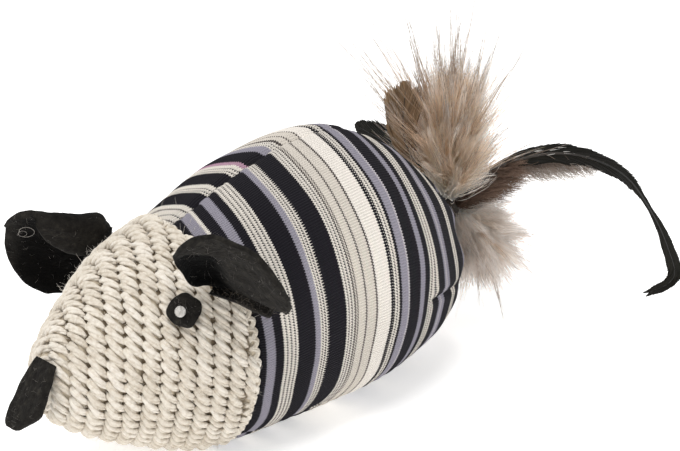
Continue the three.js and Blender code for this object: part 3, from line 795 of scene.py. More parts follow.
# The ring of yarn that the crochet starts from, wound over the end of the muzzle
def muzzle_ring(material):
    share = np.linspace(0, 1, 160)
    angle = 2 * math.pi * RING_TURNS * share
    reach = 0.5 + 5.6 * share
    start_width, next_width = STATIONS[:2, 1]
    t = np.clip((reach - start_width) / (next_width - start_width), 0, 1)
    middle = np.array((STATIONS[0, 0], 0, STATIONS[0, 2:].mean()))
    inward = np.minimum(reach / start_width, 1)[:, None]
    line = middle + (skin(t, angle, 0.1) - middle) * inward
    normal = unit(skin(t, angle, 1.1) - skin(t, angle, 0.1)) * inward + np.array((-1, 0, 0)) * (1 - inward)
    tint = np.array([0.5])
    yarn_piece("crochet_ring", line[None], unit(normal)[None], STITCH_RADIUS, 8, tint, material)


# The knit cloth under the stitches, with painted shade that is dark in the holes between the rows
def face_ground(material):
    rows = even_steps(0.02, station_at(NECK_X + 0.4), 60)
    angles = np.linspace(-math.pi, math.pi, 121)[:-1]
    row, angle = grid(rows / rows[-1], angles)
    t = row * station_at(neck_x(angle) + 0.4)
    level = (row_level(skin(t, angle)) - FIRST_ROW) / ROW_PITCH
    wave = np.cos(2 * math.pi * level)
    edge = np.maximum(1 - ease(0, 2.5, neck_x(angle) - outline(0, t)), 1 - ease(-67, -62, outline(0, t)))
    points, faces = shell(skin(t, angle, -0.6 - 0.45 * wave), skin(t, angle, -KNIT), wrap=True)
    # Painted shade: dark where the rows meet, none near the neck and the nose
    hole = ((0.5 + 0.5 * wave) * (1 - edge)).ravel()
    made = piece("crochet_ground", points, faces, material, hole=np.tile(hole, 2))
    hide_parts("face_cone")
    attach(made, "body")


# Small loops of yarn along the edge where the crochet overlaps the jersey
def neck_edge(material):
    rng = np.random.default_rng(12)
    count = EDGE_LOOPS
    middle = -math.pi + (np.arange(count) + rng.normal(0, 0.1, count)) * 2 * math.pi / count
    share = np.linspace(-1, 1, 13)[None]
    angle = middle[:, None] + share * 1.2 * math.pi / count
    x = neck_x(angle) + 0.3 + rng.normal(0, 0.15, (count, 1)) - 1.9 * np.abs(share) ** 2.2
    height = 0.1 - 0.6 * np.abs(share) ** 2 + rng.normal(0, 0.06, (count, 1))
    height = height - 0.9 * np.exp(-((np.degrees(angle) + 5) / 35) ** 2)
    t = station_at(x)
    lines = skin(t, angle, height)
    normal = unit(skin(t, angle, height + 1) - lines)
    tint = rng.uniform(0, 1, count)
    yarn_piece("crochet_edge", lines, normal, EDGE_RADIUS, 6, tint, material)


# Loose fibres that stand off the wool
def face_fuzz():
    rng = np.random.default_rng(13)
    count = FUZZ_COUNT
    x = rng.uniform(-67, NECK_X + 1, count)
    angle = rng.uniform(-math.pi, math.pi, count)
    t = station_at(x)
    root = skin(t, angle, 0.2)
    normal = unit(skin(t, angle, 1.2) - root)
    drift = unit(rng.normal(size=(count, 3)))
    length = rng.uniform(0.8, 2.6, (count, 1))
    pull = root + normal * length * 0.7 + drift * length * 0.2
    end = root + normal * length * 0.5 + drift * length
    keep = end[:, 2] > 0.3
    lines = bends(root, pull, end, np.linspace(0, 1, 5)[:, None])[keep]
    material = hair_finish("wool_fuzz", [(232, 225, 214)] * 3, 0.9, 0.4, 0.15)
    made = hair_piece("crochet_fuzz", lines, 0.035, material, rng.uniform(0, 1, keep.sum()))
    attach(made, "body")


# Half the width of an ear at a share of its length: a straight root that opens into a round leaf
def ear_half_width(share):
    widest = 0.58
    half = EAR_WIDTH / 2
    leaf = half * np.sqrt(np.maximum(1 - ((share - widest) / (1 - widest)) ** 2, 0))
    opening = np.sin(np.minimum(share / widest, 1) * math.pi / 2)
    root = EAR_ROOT_WIDTH / 2 + (half - EAR_ROOT_WIDTH / 2) * opening
    return np.where(share > widest, leaf, root)


# The width of the folded edge of an ear at a share of its length
def ear_flap(share, form):
    return form["flap"] * np.sqrt(np.maximum(1 - (np.maximum(share - 0.4, 0) / 0.36) ** 2, 0.001))


# The ear's middle layer: cupped, folded over past its rear edge, and turned onto the skin below its root
def ear_layer(share, across, place, form):
    leaf = np.maximum(share, 0)
    side = np.clip(across, -1, 1)
    bend = np.where(side < 0, form["front"], form["rear"])
    reach = np.where(side < 0, 1, form["reach"] + form["root"] * (1 - ease(0, 0.45, leaf)))
    curl = np.maximum(ease(0, 0.5, leaf), 1e-3) * bend / EAR_CUP_RADIUS
    turn = side * ear_half_width(leaf) * reach * curl
    x = np.sin(turn) / curl
    z = (1 - np.cos(turn)) / curl
    z = z + form["lip"] * np.exp(-((leaf - 0.17) / 0.15) ** 2) * np.maximum(-side, 0) ** 1.5
    past = np.maximum(across - 1, 0) * ear_flap(leaf, form)
    fold = np.minimum(past / EAR_FOLD_RADIUS, EAR_FOLD_TURN)
    rest = past - fold * EAR_FOLD_RADIUS
    x = x + EAR_FOLD_RADIUS * (np.sin(turn + fold) - np.sin(turn)) + rest * np.cos(turn + fold)
    z = z + EAR_FOLD_RADIUS * (np.cos(turn) - np.cos(turn + fold)) + rest * np.sin(turn + fold)
    flange = -EAR_LENGTH * np.minimum(share, 0)
    rise = EAR_ROOT_RISE * (1 - ease(0, 0.2, share))
    return np.stack([x - leaf * place["sweep"], leaf * EAR_LENGTH + rise, z + flange], -1)


# The directions of an ear's width, length and hollow, and its root's place
def ear_frame(place):
    lean = math.radians(place["lean"])
    twist = math.radians(place["twist"])
    angle = math.radians(place["angle"])
    point, normal, along, round_body = seat(place["x"], angle, EAR_LIFT + math.sin(abs(lean)))
    down = round_body * np.sign(angle)
    root = unit(down * math.cos(twist) + along * math.sin(twist))
    ahead = np.cross(root, normal)
    if ahead[0] > 0:
        ahead, root = -ahead, -root
    out = normal * math.cos(lean) + ahead * math.sin(lean)
    return point, np.stack([root, out, np.cross(root, out)])


# How deep in the hollow a point of the ear lies, from 0 to 1, and how dark its painted shade is
def ear_hollow_and_shade(share, across, form):
    # The far ear has no hollow: its leaf below the fold only gets painted shade
    if form["flap"]:
        return 0.9 * (1 - ease(0.8, 1, share)) * (1 - ease(1, 1.3, across))
    return (1 - ease(-0.5, -0.12, across)) * (1 - ease(0.5, 0.74, share))


def ear(name, place, form, material, seed):
    point, axes = ear_frame(place)
    across = np.linspace(-1, 1, EAR_COLUMNS)
    if form["flap"]:
        across = np.concatenate([across, 1 + np.linspace(0, 1, EAR_FLAP_COLUMNS)[1:]])
    flange = np.linspace(-EAR_FLANGE, -0.005, EAR_FLANGE_ROWS)
    share = np.concatenate([flange, 0.992 * np.linspace(0.005, 1, EAR_ROWS) ** 0.9])
    s, a = grid(share, across)
    step = 0.004
    middle = ear_layer(s, a, place, form)
    along = ear_layer(s + step, a, place, form) - ear_layer(s - step, a, place, form)
    sideways = ear_layer(s, a + step, place, form) - ear_layer(s, a - step, place, form)
    normal = unit(np.cross(sideways, along))
    edge = np.maximum(-a, a - (form["flap"] > 0))
    ragged = (0.25 * relief(middle, 5, seed) * (edge > 0.95))[..., None]
    middle = middle + ragged * unit(middle - middle[:, EAR_COLUMNS // 2, None])
    # Painted shade in the hollow and under the fold, kept on the felt as its shade value
    hollow_and_shade = ear_hollow_and_shade(s, a, form)
    bowl = form["bowl"] * hollow_and_shade * ease(-1.05, -0.8, a) * ease(0.02, 0.25, s)
    lumps = 0.3 * relief(middle, 9, seed + 1) + 0.12 * relief(middle, 3, seed + 2) - bowl
    rim = 1 - 0.45 * ease(0.86, 1, np.maximum(edge, s))
    outer = middle + normal * (lumps + FELT / 2 * rim)[..., None]
    inner = middle + normal * (lumps - FELT / 2 * rim)[..., None]
    points, faces = shell(inner, outer)
    made = piece(name, point + points @ axes, faces, material, shade=np.tile(hollow_and_shade.ravel(), 2))
    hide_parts(name.replace("felt_", ""))
    return made, point, axes, middle + normal * lumps[..., None], normal


# Fibres caught in felt or drawn out of it, in a colour
def felt_lint(name, places, normals, body, count, seed, lengths=(0.8, 2.6), colour="lint"):
    rng = np.random.default_rng(seed)
    normals = np.broadcast_to(normals, places.shape).reshape(-1, 3)
    places = places.reshape(-1, 3)
    pick = rng.integers(0, len(places), count)
    side = rng.choice([-1, 1], (count, 1))
    root = places[pick] + normals[pick] * side * FELT * 0.5
    drift = unit(rng.normal(size=(count, 3)))
    length = rng.uniform(*lengths, (count, 1))
    pull = root + drift * length * 0.5 + normals[pick] * side * length * 0.35
    end = root + unit(drift + rng.normal(0, 0.6, (count, 3))) * length
    lines = bends(root, pull, end, np.linspace(0, 1, 6)[:, None])
    material = bpy.data.materials.get("felt_" + colour)
    if material is None:
        material = hair_finish("felt_" + colour, [LINT_TONES[colour]] * 3, 0.9, 0.2, 1.4)
    made = hair_piece(name, lines, 0.022, material, rng.uniform(0, 1, count) ** 2)
    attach(made, body)


# A pale fibre that lies curled on the felt
def felt_curl(name, place, normal, body):
    share = np.linspace(0, 1, 70)
    turn = 2 * math.pi * 2.3 * share
    radius = 1.9 - 0.8 * share + 0.5 * np.sin(7 * share)
    side = unit(np.cross(normal, (0.2, 0.3, 0.9)))
    up = np.cross(side, normal)
    line = place + (FELT * 0.6 + 0.4 * share)[:, None] * normal
    line = line + (radius * np.cos(turn) + 1.5 * share)[:, None] * side
    line = line + (radius * np.sin(turn) - 1.2 * share ** 2)[:, None] * up
    material = hair_finish("felt_curl", [(196, 190, 182)] * 3, 0.9, 0.2, 0.2)
    made = hair_piece(name, line[None], 0.06, material, np.array([0.5]))
    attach(made, body)


def ears(material):
    for side, place, form in (("left", EAR_LEFT, EAR_LEFT_FORM), ("right", EAR_RIGHT, EAR_RIGHT_FORM)):
        made, point, axes, middle, normal = ear(f"felt_ear_{side}", place, form, material, len(side))
        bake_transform(made)
        places = point + middle @ axes
        normals = normal @ axes
        root = EAR_FLANGE_ROWS
        leaf = 2 * root
        seed = 20 + len(side)
        felt_lint(f"lint_ear_{side}", places[leaf:], normals[leaf:], f"ear_{side}", 220, seed)
        seed = 25 + len(side)
        felt_lint(f"lint_root_{side}", places[:root], normals[:root], "body", 320, seed, (1.2, 3.6), "root")
        if side == "right":
            felt_curl("lint_curl", places[40, 30], normals[40, 30], "ear_right")


# How far the nose reaches to a side at a share of its length: fuller on the near side, round at the end
def nose_reach(share, near):
    place = (0, 0.2, 0.4, 0.55, 0.65, 0.8, 0.9)
    far_side = np.interp(share, place, (3.1, 4.1, 4.4, 4.3, 4, 3.6, 3.2))
    near_side = np.interp(share, place, (3.6, 5.3, 6.4, 7.7, 7.7, 5.6, 3.9))
    end = np.sqrt(np.maximum(1 - (np.maximum(share - 0.84, 0) / 0.16) ** 2, 0))
    return np.where(near, near_side, far_side) * end


def nose(material):
    root, *_ = seat(NOSE_ROOT_X, 0.0, NOSE_LIFT)
    rows, columns = 36, 25
    share = 0.99 * np.linspace(0, 1, rows) ** 0.9
    s, a = grid(share, np.linspace(-1, 1, columns))
    flat = np.stack([-s * NOSE_LENGTH, a * nose_reach(s, a < 0), np.zeros_like(s)], -1)
    flat[..., 1] += 0.3 * relief(flat, 6, 31) * np.abs(a)
    lumps = 0.2 * relief(flat, 6, 32) + 0.1 * relief(flat, 2.5, 33)
    rim = 1 - 0.45 * ease(0.82, 1, np.maximum(np.abs(a), s))
    top, low = flat.copy(), flat.copy()
    top[..., 2] = lumps + FELT / 2 * rim
    low[..., 2] = lumps - FELT / 2 * rim
    points, faces = shell(low, top)
    ahead = np.array((math.cos(NOSE_SLOPE), 0, math.sin(NOSE_SLOPE)))
    up = np.array((-math.sin(NOSE_SLOPE), 0, math.cos(NOSE_SLOPE)))
    axes = np.stack([ahead, np.array((0, 1, 0)), up])
    place = np.array((root[0], NOSE_ROOT_Y, root[2]))
    made = piece("felt_nose", place + points @ axes, faces, material)
    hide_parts("nose_tab")
    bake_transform(made)
    felt_lint("lint_nose", place + flat[4:] @ axes, up, "nose", 80, 34)


# A hand-cut felt disc with a soft edge
def eye_disc(name, place, felt, seed):
    point, normal, along, _ = seat(place["x"], math.radians(place["angle"]), EYE_LIFT)
    axes = np.stack([along, np.cross(normal, along), normal])
    turn = np.linspace(0, 2 * math.pi, 65)[:-1]
    rng = np.random.default_rng(seed)
    ragged = 0.045 * np.cos(4 * turn + 0.6)
    for waves in (2, 3, 5, 7):
        ragged = ragged + 0.02 * np.cos(waves * turn + rng.uniform(0, 6))
    ring = np.linspace(0.05, 1, 12)
    r, a = grid(ring, turn)
    radius = EYE_RADIUS * r * (1 + ragged[None] * r)
    flat = np.stack([radius * np.cos(a), radius * np.sin(a), np.zeros_like(r)], -1)
    rim = 1 - 0.5 * ease(0.75, 1, r)
    lumps = 0.12 * relief(flat, 2.5, seed)
    top, low = flat.copy(), flat.copy()
    top[..., 2] = EYE_THICKNESS / 2 * (1 + rim) + lumps
    low[..., 2] = EYE_THICKNESS / 2 * (1 - rim)
    points, faces = shell(top, low, wrap=True)
    made = piece(f"felt_{name}", point + points @ axes, faces, felt)
    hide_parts(name)
    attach(made, "body")
    places = point + (top - np.array((0, 0, FELT / 2))) @ axes
    felt_lint(f"lint_{name}", places, normal, "body", 60, seed + 1)
    return point, axes


# A thread wound into a small knot
def eye_knot(name, point, axes, material):
    share = np.linspace(0, 1, 260)
    turn = 2 * math.pi * KNOT_TURNS * share
    tilt = math.pi * share
    ball = np.stack([
        1.05 * np.cos(turn) * np.sin(tilt) - 1.3,
        1.0 * np.cos(tilt),
        0.5 * np.sin(turn) * np.sin(tilt) + EYE_THICKNESS + 0.6,
    ], -1)
    lines = (point + ball @ axes)[None]
    strands = plied(lines, axes[2], 0.34, 2, 1.6)
    points, faces = tubes(strands, 0.24, 6, axes[2])
    made = piece(f"thread_{name}", points, faces, material)
    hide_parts(name)
    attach(made, "body")


def eyes(felt):
    knot = mottled_finish("knot_cotton", paint(176, 171, 164), paint(226, 223, 218), 1500, 0.1, 0.8)
    for side, place, seed in (("left", EYE_LEFT, 41), ("right", EYE_RIGHT, 43)):
        point, axes = eye_disc(f"eye_{side}", place, felt, seed)
        eye_knot(f"eye_knot_{side}", point, axes, knot)


# A point in front of the bound root's end face, moved sideways and up along the face
def plume_root(sideways, up):
    return TAIL + PLUME_ROOT * TAIL_AHEAD + sideways * TAIL_SIDE + up * TAIL_ABOVE


# Hairs in pointed locks that leave a core all along it, bow outward, lift and keep behind a limit
def fur_hairs(root, core, aim, back, coat, rng):
    clumps, each = coat["clumps"], coat["each"]
    side = unit(np.cross(aim, (1, 0, 0)))
    through = np.cross(side, aim)
    rise = rng.uniform(0, 1, clumps)
    turn = rng.uniform(*coat.get("turn", (0, 2 * math.pi)), clumps)
    lean = np.radians(rng.uniform(*coat["lean"], clumps)) * (1 - coat["close"] * rise)
    out = np.cos(turn)[:, None] * side + np.sin(turn)[:, None] * through
    ahead = aim * np.cos(lean)[:, None] + out * np.sin(lean)[:, None]
    length = (coat["length"] * (0.8 + 0.2 * rise) * rng.uniform(0.7, 1.1, clumps))[:, None]
    start = rise[:, None] * core
    pull = start + ahead * length * 0.5
    bow = coat["bow"] * rng.normal(0, 1, (clumps, 3))
    tip = start + ahead * length * 0.9 + aim * length * coat["lift"] + bow
    pull[:, 0] = np.maximum(pull[:, 0], back)
    tip[:, 0] = np.maximum(tip[:, 0], back)
    own = np.repeat(np.arange(clumps), each)
    count = clumps * each
    share = (rng.uniform(coat["short"], 1, (count, 1)) * np.linspace(0, 1, coat["steps"]))[:, :, None]
    curve = bends(start[own], pull[own], tip[own], share)
    stray = coat["loose"] * rng.normal(0, 1, (count, 1, 3)) * np.sin(math.pi * (0.12 + 0.86 * share))
    wave = 0.3 * rng.normal(0, 1, (count, 1, 3)) * np.sin(9 * share + rng.uniform(0, 6, (count, 1, 1)))
    tint = 0.6 * rng.uniform(0, 1, clumps)[own] + 0.4 * rng.uniform(0, 1, count)
    return root + curve + stray + wave, tint


# Soft underfur, longer guard hairs in pointed wisps, and a few stray hairs
def fur_tuft(name, node, root, core, aim, back, coats, materials, seed):
    rng = np.random.default_rng(seed)
    for layer, form in coats.items():
        coat = dict(zip(COAT, form))
        lines, tint = fur_hairs(root, core, unit(aim), back, coat, rng)
        made = hair_piece(f"{name}_{layer}", lines, coat["radius"], materials[coat["tone"]], tint)
        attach(made, "tail")
        if layer == "under":
            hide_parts(node)


def fur_tufts():
    materials = {}
    for tone, (*colours, spread, soft) in FUR_TONES.items():
        materials[tone] = hair_finish(f"fur_{tone}", colours, 0.8, 0, spread, soft)
    aim = np.array((-0.02, 0.02, 1))
    root = plume_root(0, ROOT_SPREAD)
    fur_tuft("fur_upper", "fur_tuft_upper", root, aim * 16, aim, -30, UPPER_COATS, materials, 51)
    core = np.array((5.5, -5, -9))
    aim = np.array((0.25, -0.3, -0.92))
    root = plume_root(0, -ROOT_SPREAD)
    fur_tuft("fur_lower", "fur_tuft_lower", root, core, aim, -5, LOWER_COATS, materials, 52)


# Points along a smooth curve through a route, evenly spaced
def along_route(route, count):
    route = np.asarray(route, float)
    padded = np.concatenate([[2 * route[0] - route[1]], route, [2 * route[-1] - route[-2]]])
    fine = []
    for i in range(1, len(padded) - 2):
        f = np.linspace(0, 1, 40, endpoint=False)[:, None]
        a, b, c, d = padded[i - 1:i + 3]
        fine.append(0.5 * (2 * b + (c - a) * f + (2 * a - 5 * b + 4 * c - d) * f ** 2
                           + (3 * b - a - 3 * c + d) * f ** 3))
    fine = np.concatenate([*fine, route[-1:]])
    length = np.concatenate([[0], np.cumsum(np.linalg.norm(np.diff(fine, axis=0), axis=1))])
    wanted = np.linspace(0, length[-1], count)
    return np.stack([np.interp(wanted, length, fine[:, k]) for k in range(3)], -1)


# A feather's middle line and its forward, sideways and facing directions
class FeatherLine:
    def __init__(self, route, across):
        self.points = along_route(route, SPINE_STEPS)
        self.length = np.linalg.norm(np.diff(self.points, axis=0), axis=1).sum()
        self.forward = unit(np.gradient(self.points, axis=0))
        self.facing = unit(np.cross(self.forward, np.broadcast_to(across, self.points.shape)))
        self.sideways = unit(np.cross(self.facing, self.forward))

    # Points beside the line: share of its length, distance sideways and distance off its face
    def beside(self, share, aside, off):
        i = np.clip(share * (SPINE_STEPS - 1), 0, SPINE_STEPS - 1).astype(int)
        past = np.maximum(share - 1, 0) * self.length
        step = self.sideways[i] * aside[..., None] + self.facing[i] * off[..., None]
        return self.points[i] + self.forward[i] * past[..., None] + step

    def quill(self, name, radius, material):
        taper = radius * (1 - 0.85 * np.linspace(0, 1, SPINE_STEPS))
        points, faces = tubes(self.points[None], taper[None], 6, self.facing[None])
        share, tint = tube_values(1, SPINE_STEPS, 6, np.array([0.5]))
        return piece(name, points, faces, material, share=share, tint=tint)

    # Flat barbs on both sides that lie in one smooth sheet, split into bunches and stop at the tip
    def vane(self, name, half_width, count, slant, ragged, material, seed):
        rng = np.random.default_rng(seed)
        start = np.linspace(0.01, 0.99, count)
        along = np.linspace(0, 1, 9)[None]
        parts, tints = [], []
        for side in (-1, 1):
            bunch = rng.normal(0, 1, count // BARBS_IN_BUNCH + 2)
            gather = np.interp(np.arange(count) / BARBS_IN_BUNCH, np.arange(len(bunch)), bunch)
            angle = slant + 0.02 * np.round(gather) + rng.normal(0, 0.01, count)
            width = half_width(start + 0.5 * half_width(start) / math.tan(slant) / self.length)
            width = width * (1 + 0.05 * gather + rng.normal(0, 0.03, count))
            length = width / np.sin(angle)
            room = (1.02 - start) * self.length * (1 - 0.16 * np.sqrt(1 - start))
            length = np.minimum(length, room * rng.uniform(ragged, 1.05, count))
            share = start[:, None] + along * (length * np.cos(angle) / self.length)[:, None]
            aside = side * along ** 0.85 * (length * np.sin(angle))[:, None]
            curl = (0.02 * length * rng.uniform(-0.4, 1, count))[:, None] * along ** 2
            off = curl + rng.normal(0, 0.03, (count, 1))
            keep = length > 0.4
            lines = self.beside(share, aside, off)[keep]
            i = np.clip(start * SPINE_STEPS, 0, SPINE_STEPS - 1).astype(int)[keep]
            radii = BARB_RADIUS * (1 - 0.75 * along ** 3)
            parts.append(tubes(lines, radii, 4, self.facing[i][:, None], 0.15))
            tone = np.clip(0.45 + 0.08 * gather + rng.normal(0, 0.06, count), 0, 1)[keep]
            tints.append(tube_values(keep.sum(), along.size, 4, tone)[1])
        points, faces = joined(parts)
        return piece(name, points, faces, material, tint=np.concatenate(tints))

    # Painted highlights: a few pale barbs on the face of the vane that stand in for glints
    def streaks(self, name, span, count, material, seed):
        rng = np.random.default_rng(seed)
        along = np.linspace(0, 1, 6)[None]
        start = rng.uniform(*span, (count, 1))
        length = rng.uniform(2, 4, (count, 1))
        aside = rng.uniform(-0.8, 2, (count, 1)) + 0.12 * length * along
        lines = self.beside(start + along * length / self.length, aside, np.full(aside.shape, 0.3))
        return hair_piece(name, lines, 0.13, material, rng.uniform(0, 1, count))

    # Loose down at the foot of the feather
    def down(self, name, span, lengths, heading, count, material, seed):
        rng = np.random.default_rng(seed)
        place = span[0] + (span[1] - span[0]) * rng.beta(1.1, 1.6, count)
        root = self.beside(place, rng.normal(0, 0.5, count), np.zeros(count))
        i = (place * (SPINE_STEPS - 1)).astype(int)
        middle = (place - span[0]) / (span[1] - span[0])
        length = (rng.uniform(*lengths, count) * np.sin(math.pi * (0.15 + 0.8 * middle)))[:, None]
        drift = unit(np.asarray(heading) + rng.normal(0, 0.28, (count, 3)))
        pull = root + drift * length * 0.6
        end = root + drift * length * 0.85 + self.forward[i] * length * 0.5
        lines = bends(root, pull, end, np.linspace(0, 1, 7)[:, None])
        wave = rng.normal(0, 0.3, (count, 1, 3)) * np.sin(np.linspace(0, 7, 7))[None, :, None]
        return hair_piece(name, lines + wave, 0.09, material, rng.uniform(0, 1, count))


def long_feather(vane, quill):
    root = plume_root(0, 0)
    route = [(0, 0), (0.06, 0.4), (0.15, 0.74), (0.3, 1.02), (0.46, 1.05), (0.62, 0.74), (0.77, 0.1),
             (0.9, -0.35), (0.98, -0.7), (1.01, -0.9), (0.98, -1), (0.9, -1.06)]
    heading = np.array((math.cos(FEATHER_HEADING), -math.sin(FEATHER_HEADING), 0))
    points = []
    for ahead, up in route:
        height = up * (FEATHER_RISE if up > 0 else FEATHER_DROP)
        points.append(root + heading * ahead * FEATHER_REACH + np.array((0, 0, height)))
    arch = np.array((math.sin(FEATHER_HEADING), math.cos(FEATHER_HEADING), FEATHER_TILT))
    droop = np.array((0.73, -0.68, 0))
    drooped = ease(0.5, 0.72, np.linspace(0, 1, SPINE_STEPS))[:, None]
    line = FeatherLine(points, unit(arch) * (1 - drooped) + droop * drooped)
    place = (0, 0.1, 0.2, 0.3, 0.45, 0.53, 0.58, 0.63, 0.68, 0.76, 0.83, 0.88, 0.92, 0.96, 1)
    width = (0.5, 1.5, 2.8, 3.4, 3.3, 2.7, 1.8, 0.8, 0.6, 1.6, 2.1, 2.1, 1.6, 1.4, 0.8)
    grey = hair_finish("down_grey", [(96, 82, 72), (138, 122, 110), (190, 180, 172)], 0.8, 0, 0.5)
    brown = hair_finish("down_brown", [(66, 52, 44), (92, 72, 58), (128, 104, 88)], 0.8, 0, 0.6)
    # Pale barbs that stand in for glints on the vane: a painted highlight
    pale = hair_finish("feather_painted_glint", [(190, 186, 180), (214, 210, 206), (160, 156, 150)], 0.6, 0, 0.3)
    under = (0.5, 0.1, -0.85)
    near = (-0.3, -0.6, -0.5)
    parts = [
        line.vane("feather_long", lambda share: np.interp(share, place, width), 520, 0.24, 0.85, vane, 61),
        line.quill("feather_long_quill", 0.6, quill),
        line.streaks("feather_long_painted_glints", (0.19, 0.36), 10, pale, 66),
        line.down("feather_down_grey", (0.14, 0.46), (8, 13), under, 1500, grey, 64),
        line.down("feather_down_brown", (0.01, 0.22), (8, 13), near, 1700, brown, 65),
    ]
    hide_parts("tail_feather")
    for part in parts:
        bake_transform(part)


# Half the width of the brown feather: it opens towards a blunt, round end
def blunt_width(share):
    return 6.2 * np.clip(share / 0.65, 0, 1) ** 1.2 * (1 - 0.75 * ease(0.8, 1.1, share))


# Half the width of the short black feather: a pointed leaf
def leaf_width(share):
    return 4.8 * np.sin(math.pi * np.clip(share, 0, 1)) ** 0.7


def short_feathers(vane, brown, quill):
    edge = ROOT_SPREAD * 1.1
    root = plume_root(edge, -edge / 3)
    reach = np.array((-7, 34, 19), float)
    route = [root, root + reach * 0.5 + np.array((0, 0, 3)), root + reach]
    dark = FeatherLine(route, np.array((0, 0, 1.0)))
    root = plume_root(edge, edge * 0.75)
    reach = np.array((-12, 5, 36), float)
    route = [root, root + reach * 0.5 + np.array((-6, 2, 0)), root + reach]
    blunt = FeatherLine(route, np.array((0.6, -0.6, 0)))
    parts = [
        dark.vane("feather_dark", leaf_width, 220, 0.35, 0.85, vane, 62),
        dark.quill("feather_dark_quill", 0.5, quill),
        blunt.vane("feather_brown", blunt_width, 240, 0.3, 0.6, brown, 63),
        blunt.quill("feather_brown_quill", 0.5, quill),
    ]
    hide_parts("dark_feather")
    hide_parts("brown_feather")
    for part, slot in zip(parts, ("plume", "plume", "brown_plume", "brown_plume")):
        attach(part, "tail")


# Points round the bound root: distance along it, radius and turn
def round_root(place, size, turn):
    out = np.cos(turn)[..., None] * TAIL_ABOVE + np.sin(turn)[..., None] * TAIL_SIDE
    return TAIL + place[..., None] * TAIL_AHEAD + size[..., None] * out


# The bound root: thread wound round a core, from the ball in the hole to the plumes
def binding():
    place = np.array((-3, -1.5, 0, 1.6, 3.2, 4.4, 5.5, 6.6, 8))
    size = np.array((3.1, 4.0, 4.3, 4.0, 3.1, 2.9, 3.3, 3.5, 3.4))
    ring = np.linspace(0, 2 * math.pi, 33)[None, :-1]
    core = round_root(place[:, None], 0.94 * size[:, None], ring)
    inner = round_root(place[:, None], 0.376 * size[:, None], ring)
    share = np.linspace(0, 1, 900)
    at = -2.6 + 10.4 * share
    wind = round_root(at, np.interp(at, place, size), 2 * math.pi * BINDING_TURNS * share)
    points, faces = joined([shell(core, inner, wrap=True), tubes(wind[None], 0.3, 6, TAIL_AHEAD)])
    material = mottled_finish("thread_dark", paint(30, 25, 22), paint(62, 52, 45), 1800, 0.1, 0.8)
    made = piece("thread_binding", points, faces, material)
    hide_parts("tail_binding")
    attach(made, "tail")


# A lumpy copy of a hidden soft solid, drawn in a little from its surface
def stuffing(name, node, material, inset, lump, seed):
    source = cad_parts[node].data
    points = np.array([vertex.co for vertex in source.vertices]) / MM
    normals = np.array([vertex.normal for vertex in source.vertices])
    depth = inset * (0.5 + 0.5 * relief(points, lump, seed))
    faces = [np.array([tuple(face.vertices) for face in source.polygons])]
    made = piece(name, points - normals * np.maximum(depth, 0)[:, None], faces, material)
    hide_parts(node)
    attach(made, "body")
    return made


def hidden_pieces():
    wad = mottled_finish("wadding", paint(226, 222, 214), paint(246, 243, 238), 260, 1.2)
    muslin = mottled_finish("muslin", paint(214, 206, 192), paint(238, 233, 223), 1600, 0.2)
    leaf = mottled_finish("dried_leaf", paint(70, 74, 38), paint(128, 128, 76), 900, 0.8)
    filled = [
        stuffing("wad_head", "head_stuffing", wad, 0.5, 12, 71),
        stuffing("wad_body", "body_stuffing", wad, 0.5, 14, 72),
        stuffing("catnip_crumbs", "catnip_herb", leaf, 0.4, 3, 75),
    ]
    cloths = [
        stuffing("muslin_front", "sachet_front", muslin, 0.08, 6, 73),
        stuffing("muslin_back", "sachet_back", muslin, 0.08, 6, 74),
    ]


# A camera or light at a place, with its back towards a direction
def placed(name, data, place, back):
    made = bpy.data.objects.new(name, data)
    made.location = place
    made.rotation_mode = "QUATERNION"
    made.rotation_quaternion = back.to_track_quat("Z", "Y")
    bpy.context.scene.collection.objects.link(made)
    return made


def photo_camera():
    data = bpy.data.cameras.new("photo_camera")
    data.lens = LENS
    data.sensor_width = SENSOR
    azimuth, elevation = math.radians(VIEW_AZIMUTH), math.radians(VIEW_ELEVATION)
    back = Vector((
        math.sin(azimuth) * math.cos(elevation),
        -math.cos(azimuth) * math.cos(elevation),
        math.sin(elevation),
    ))
    place = (Vector(VIEW_TARGET) + back * VIEW_DISTANCE) * MM
    bpy.context.scene.camera = placed("photo_camera", data, place, back)


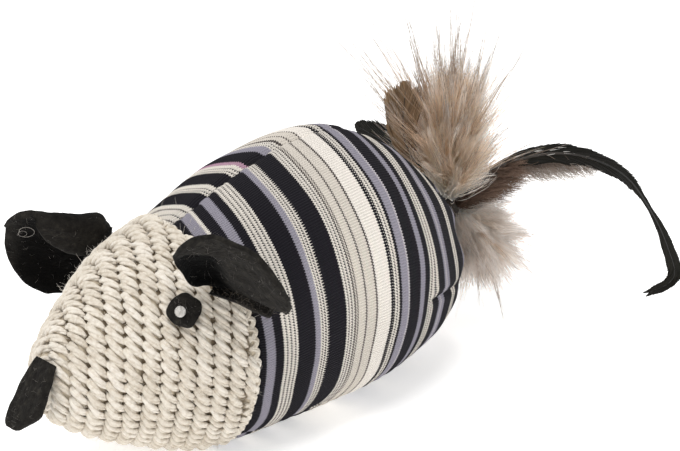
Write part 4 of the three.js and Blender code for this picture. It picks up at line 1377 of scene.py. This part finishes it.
def area_light(name, place, target, size, power):
    data = bpy.data.lights.new(name, "AREA")
    data.shape = "DISK"
    data.size = size
    data.energy = power
    placed(name, data, place, Vector(place) - Vector(target))


# Soft studio light, a white room and a pale floor
def studio():
    world = bpy.data.worlds.new("studio")
    world.use_nodes = True
    world.node_tree.nodes["Background"].inputs["Color"].default_value = (1, 1, 1, 1)
    world.node_tree.nodes["Background"].inputs["Strength"].default_value = 0.55
    bpy.context.scene.world = world
    bpy.context.scene.view_settings.view_transform = "Standard"
    middle = (0.02, 0, 0.04)
    area_light("key", (-0.32, -0.22, 1.05), middle, 0.6, 7.4)
    area_light("fill", (-0.9, -0.3, 0.5), middle, 0.8, 1)
    area_light("rim", (0.6, 0.5, 0.8), middle, 0.6, 2)
    spread = np.linspace(-FLOOR_REACH, FLOOR_REACH, FLOOR_LINES)
    x, y = grid(spread, spread)
    floor = mottled_finish("floor_pale", paint(248, 247, 246), paint(252, 252, 251), 3, 0.01, 0.9)
    glow = floor.node_tree.nodes["Principled BSDF"].inputs
    glow["Emission Color"].default_value = (1, 1, 1, 1)
    glow["Emission Strength"].default_value = 0.5
    points = np.stack([x, y, np.full_like(x, -0.05)], -1)
    made = piece("floor", points, [grid_faces(FLOOR_LINES, FLOOR_LINES)], floor)


def mouse():
    jersey_panels()
    rows = FaceRows()
    yarn = yarn_finish()
    face_ground(ground_finish())
    face_stitches(rows, yarn)
    muzzle_ring(yarn)
    neck_edge(yarn)
    face_fuzz()
    felt = felt_finish()
    ears(felt)
    nose(felt)
    eyes(felt)
    vane = plume_finish("plume_black", paint(7, 6, 6), paint(28, 24, 20), paint(202, 204, 190))
    brown = plume_finish("plume_brown", paint(72, 55, 40), paint(176, 146, 114), paint(230, 220, 210))
    quill = hair_finish("quill_dark", [(70, 60, 50), (26, 23, 21), (14, 13, 12)], 0.4, 0, 0.2)
    binding()
    fur_tufts()
    long_feather(vane, quill)
    short_feathers(vane, brown, quill)
    hidden_pieces()


photo_camera()
studio()
mouse()
bpy.context.view_layer.update()
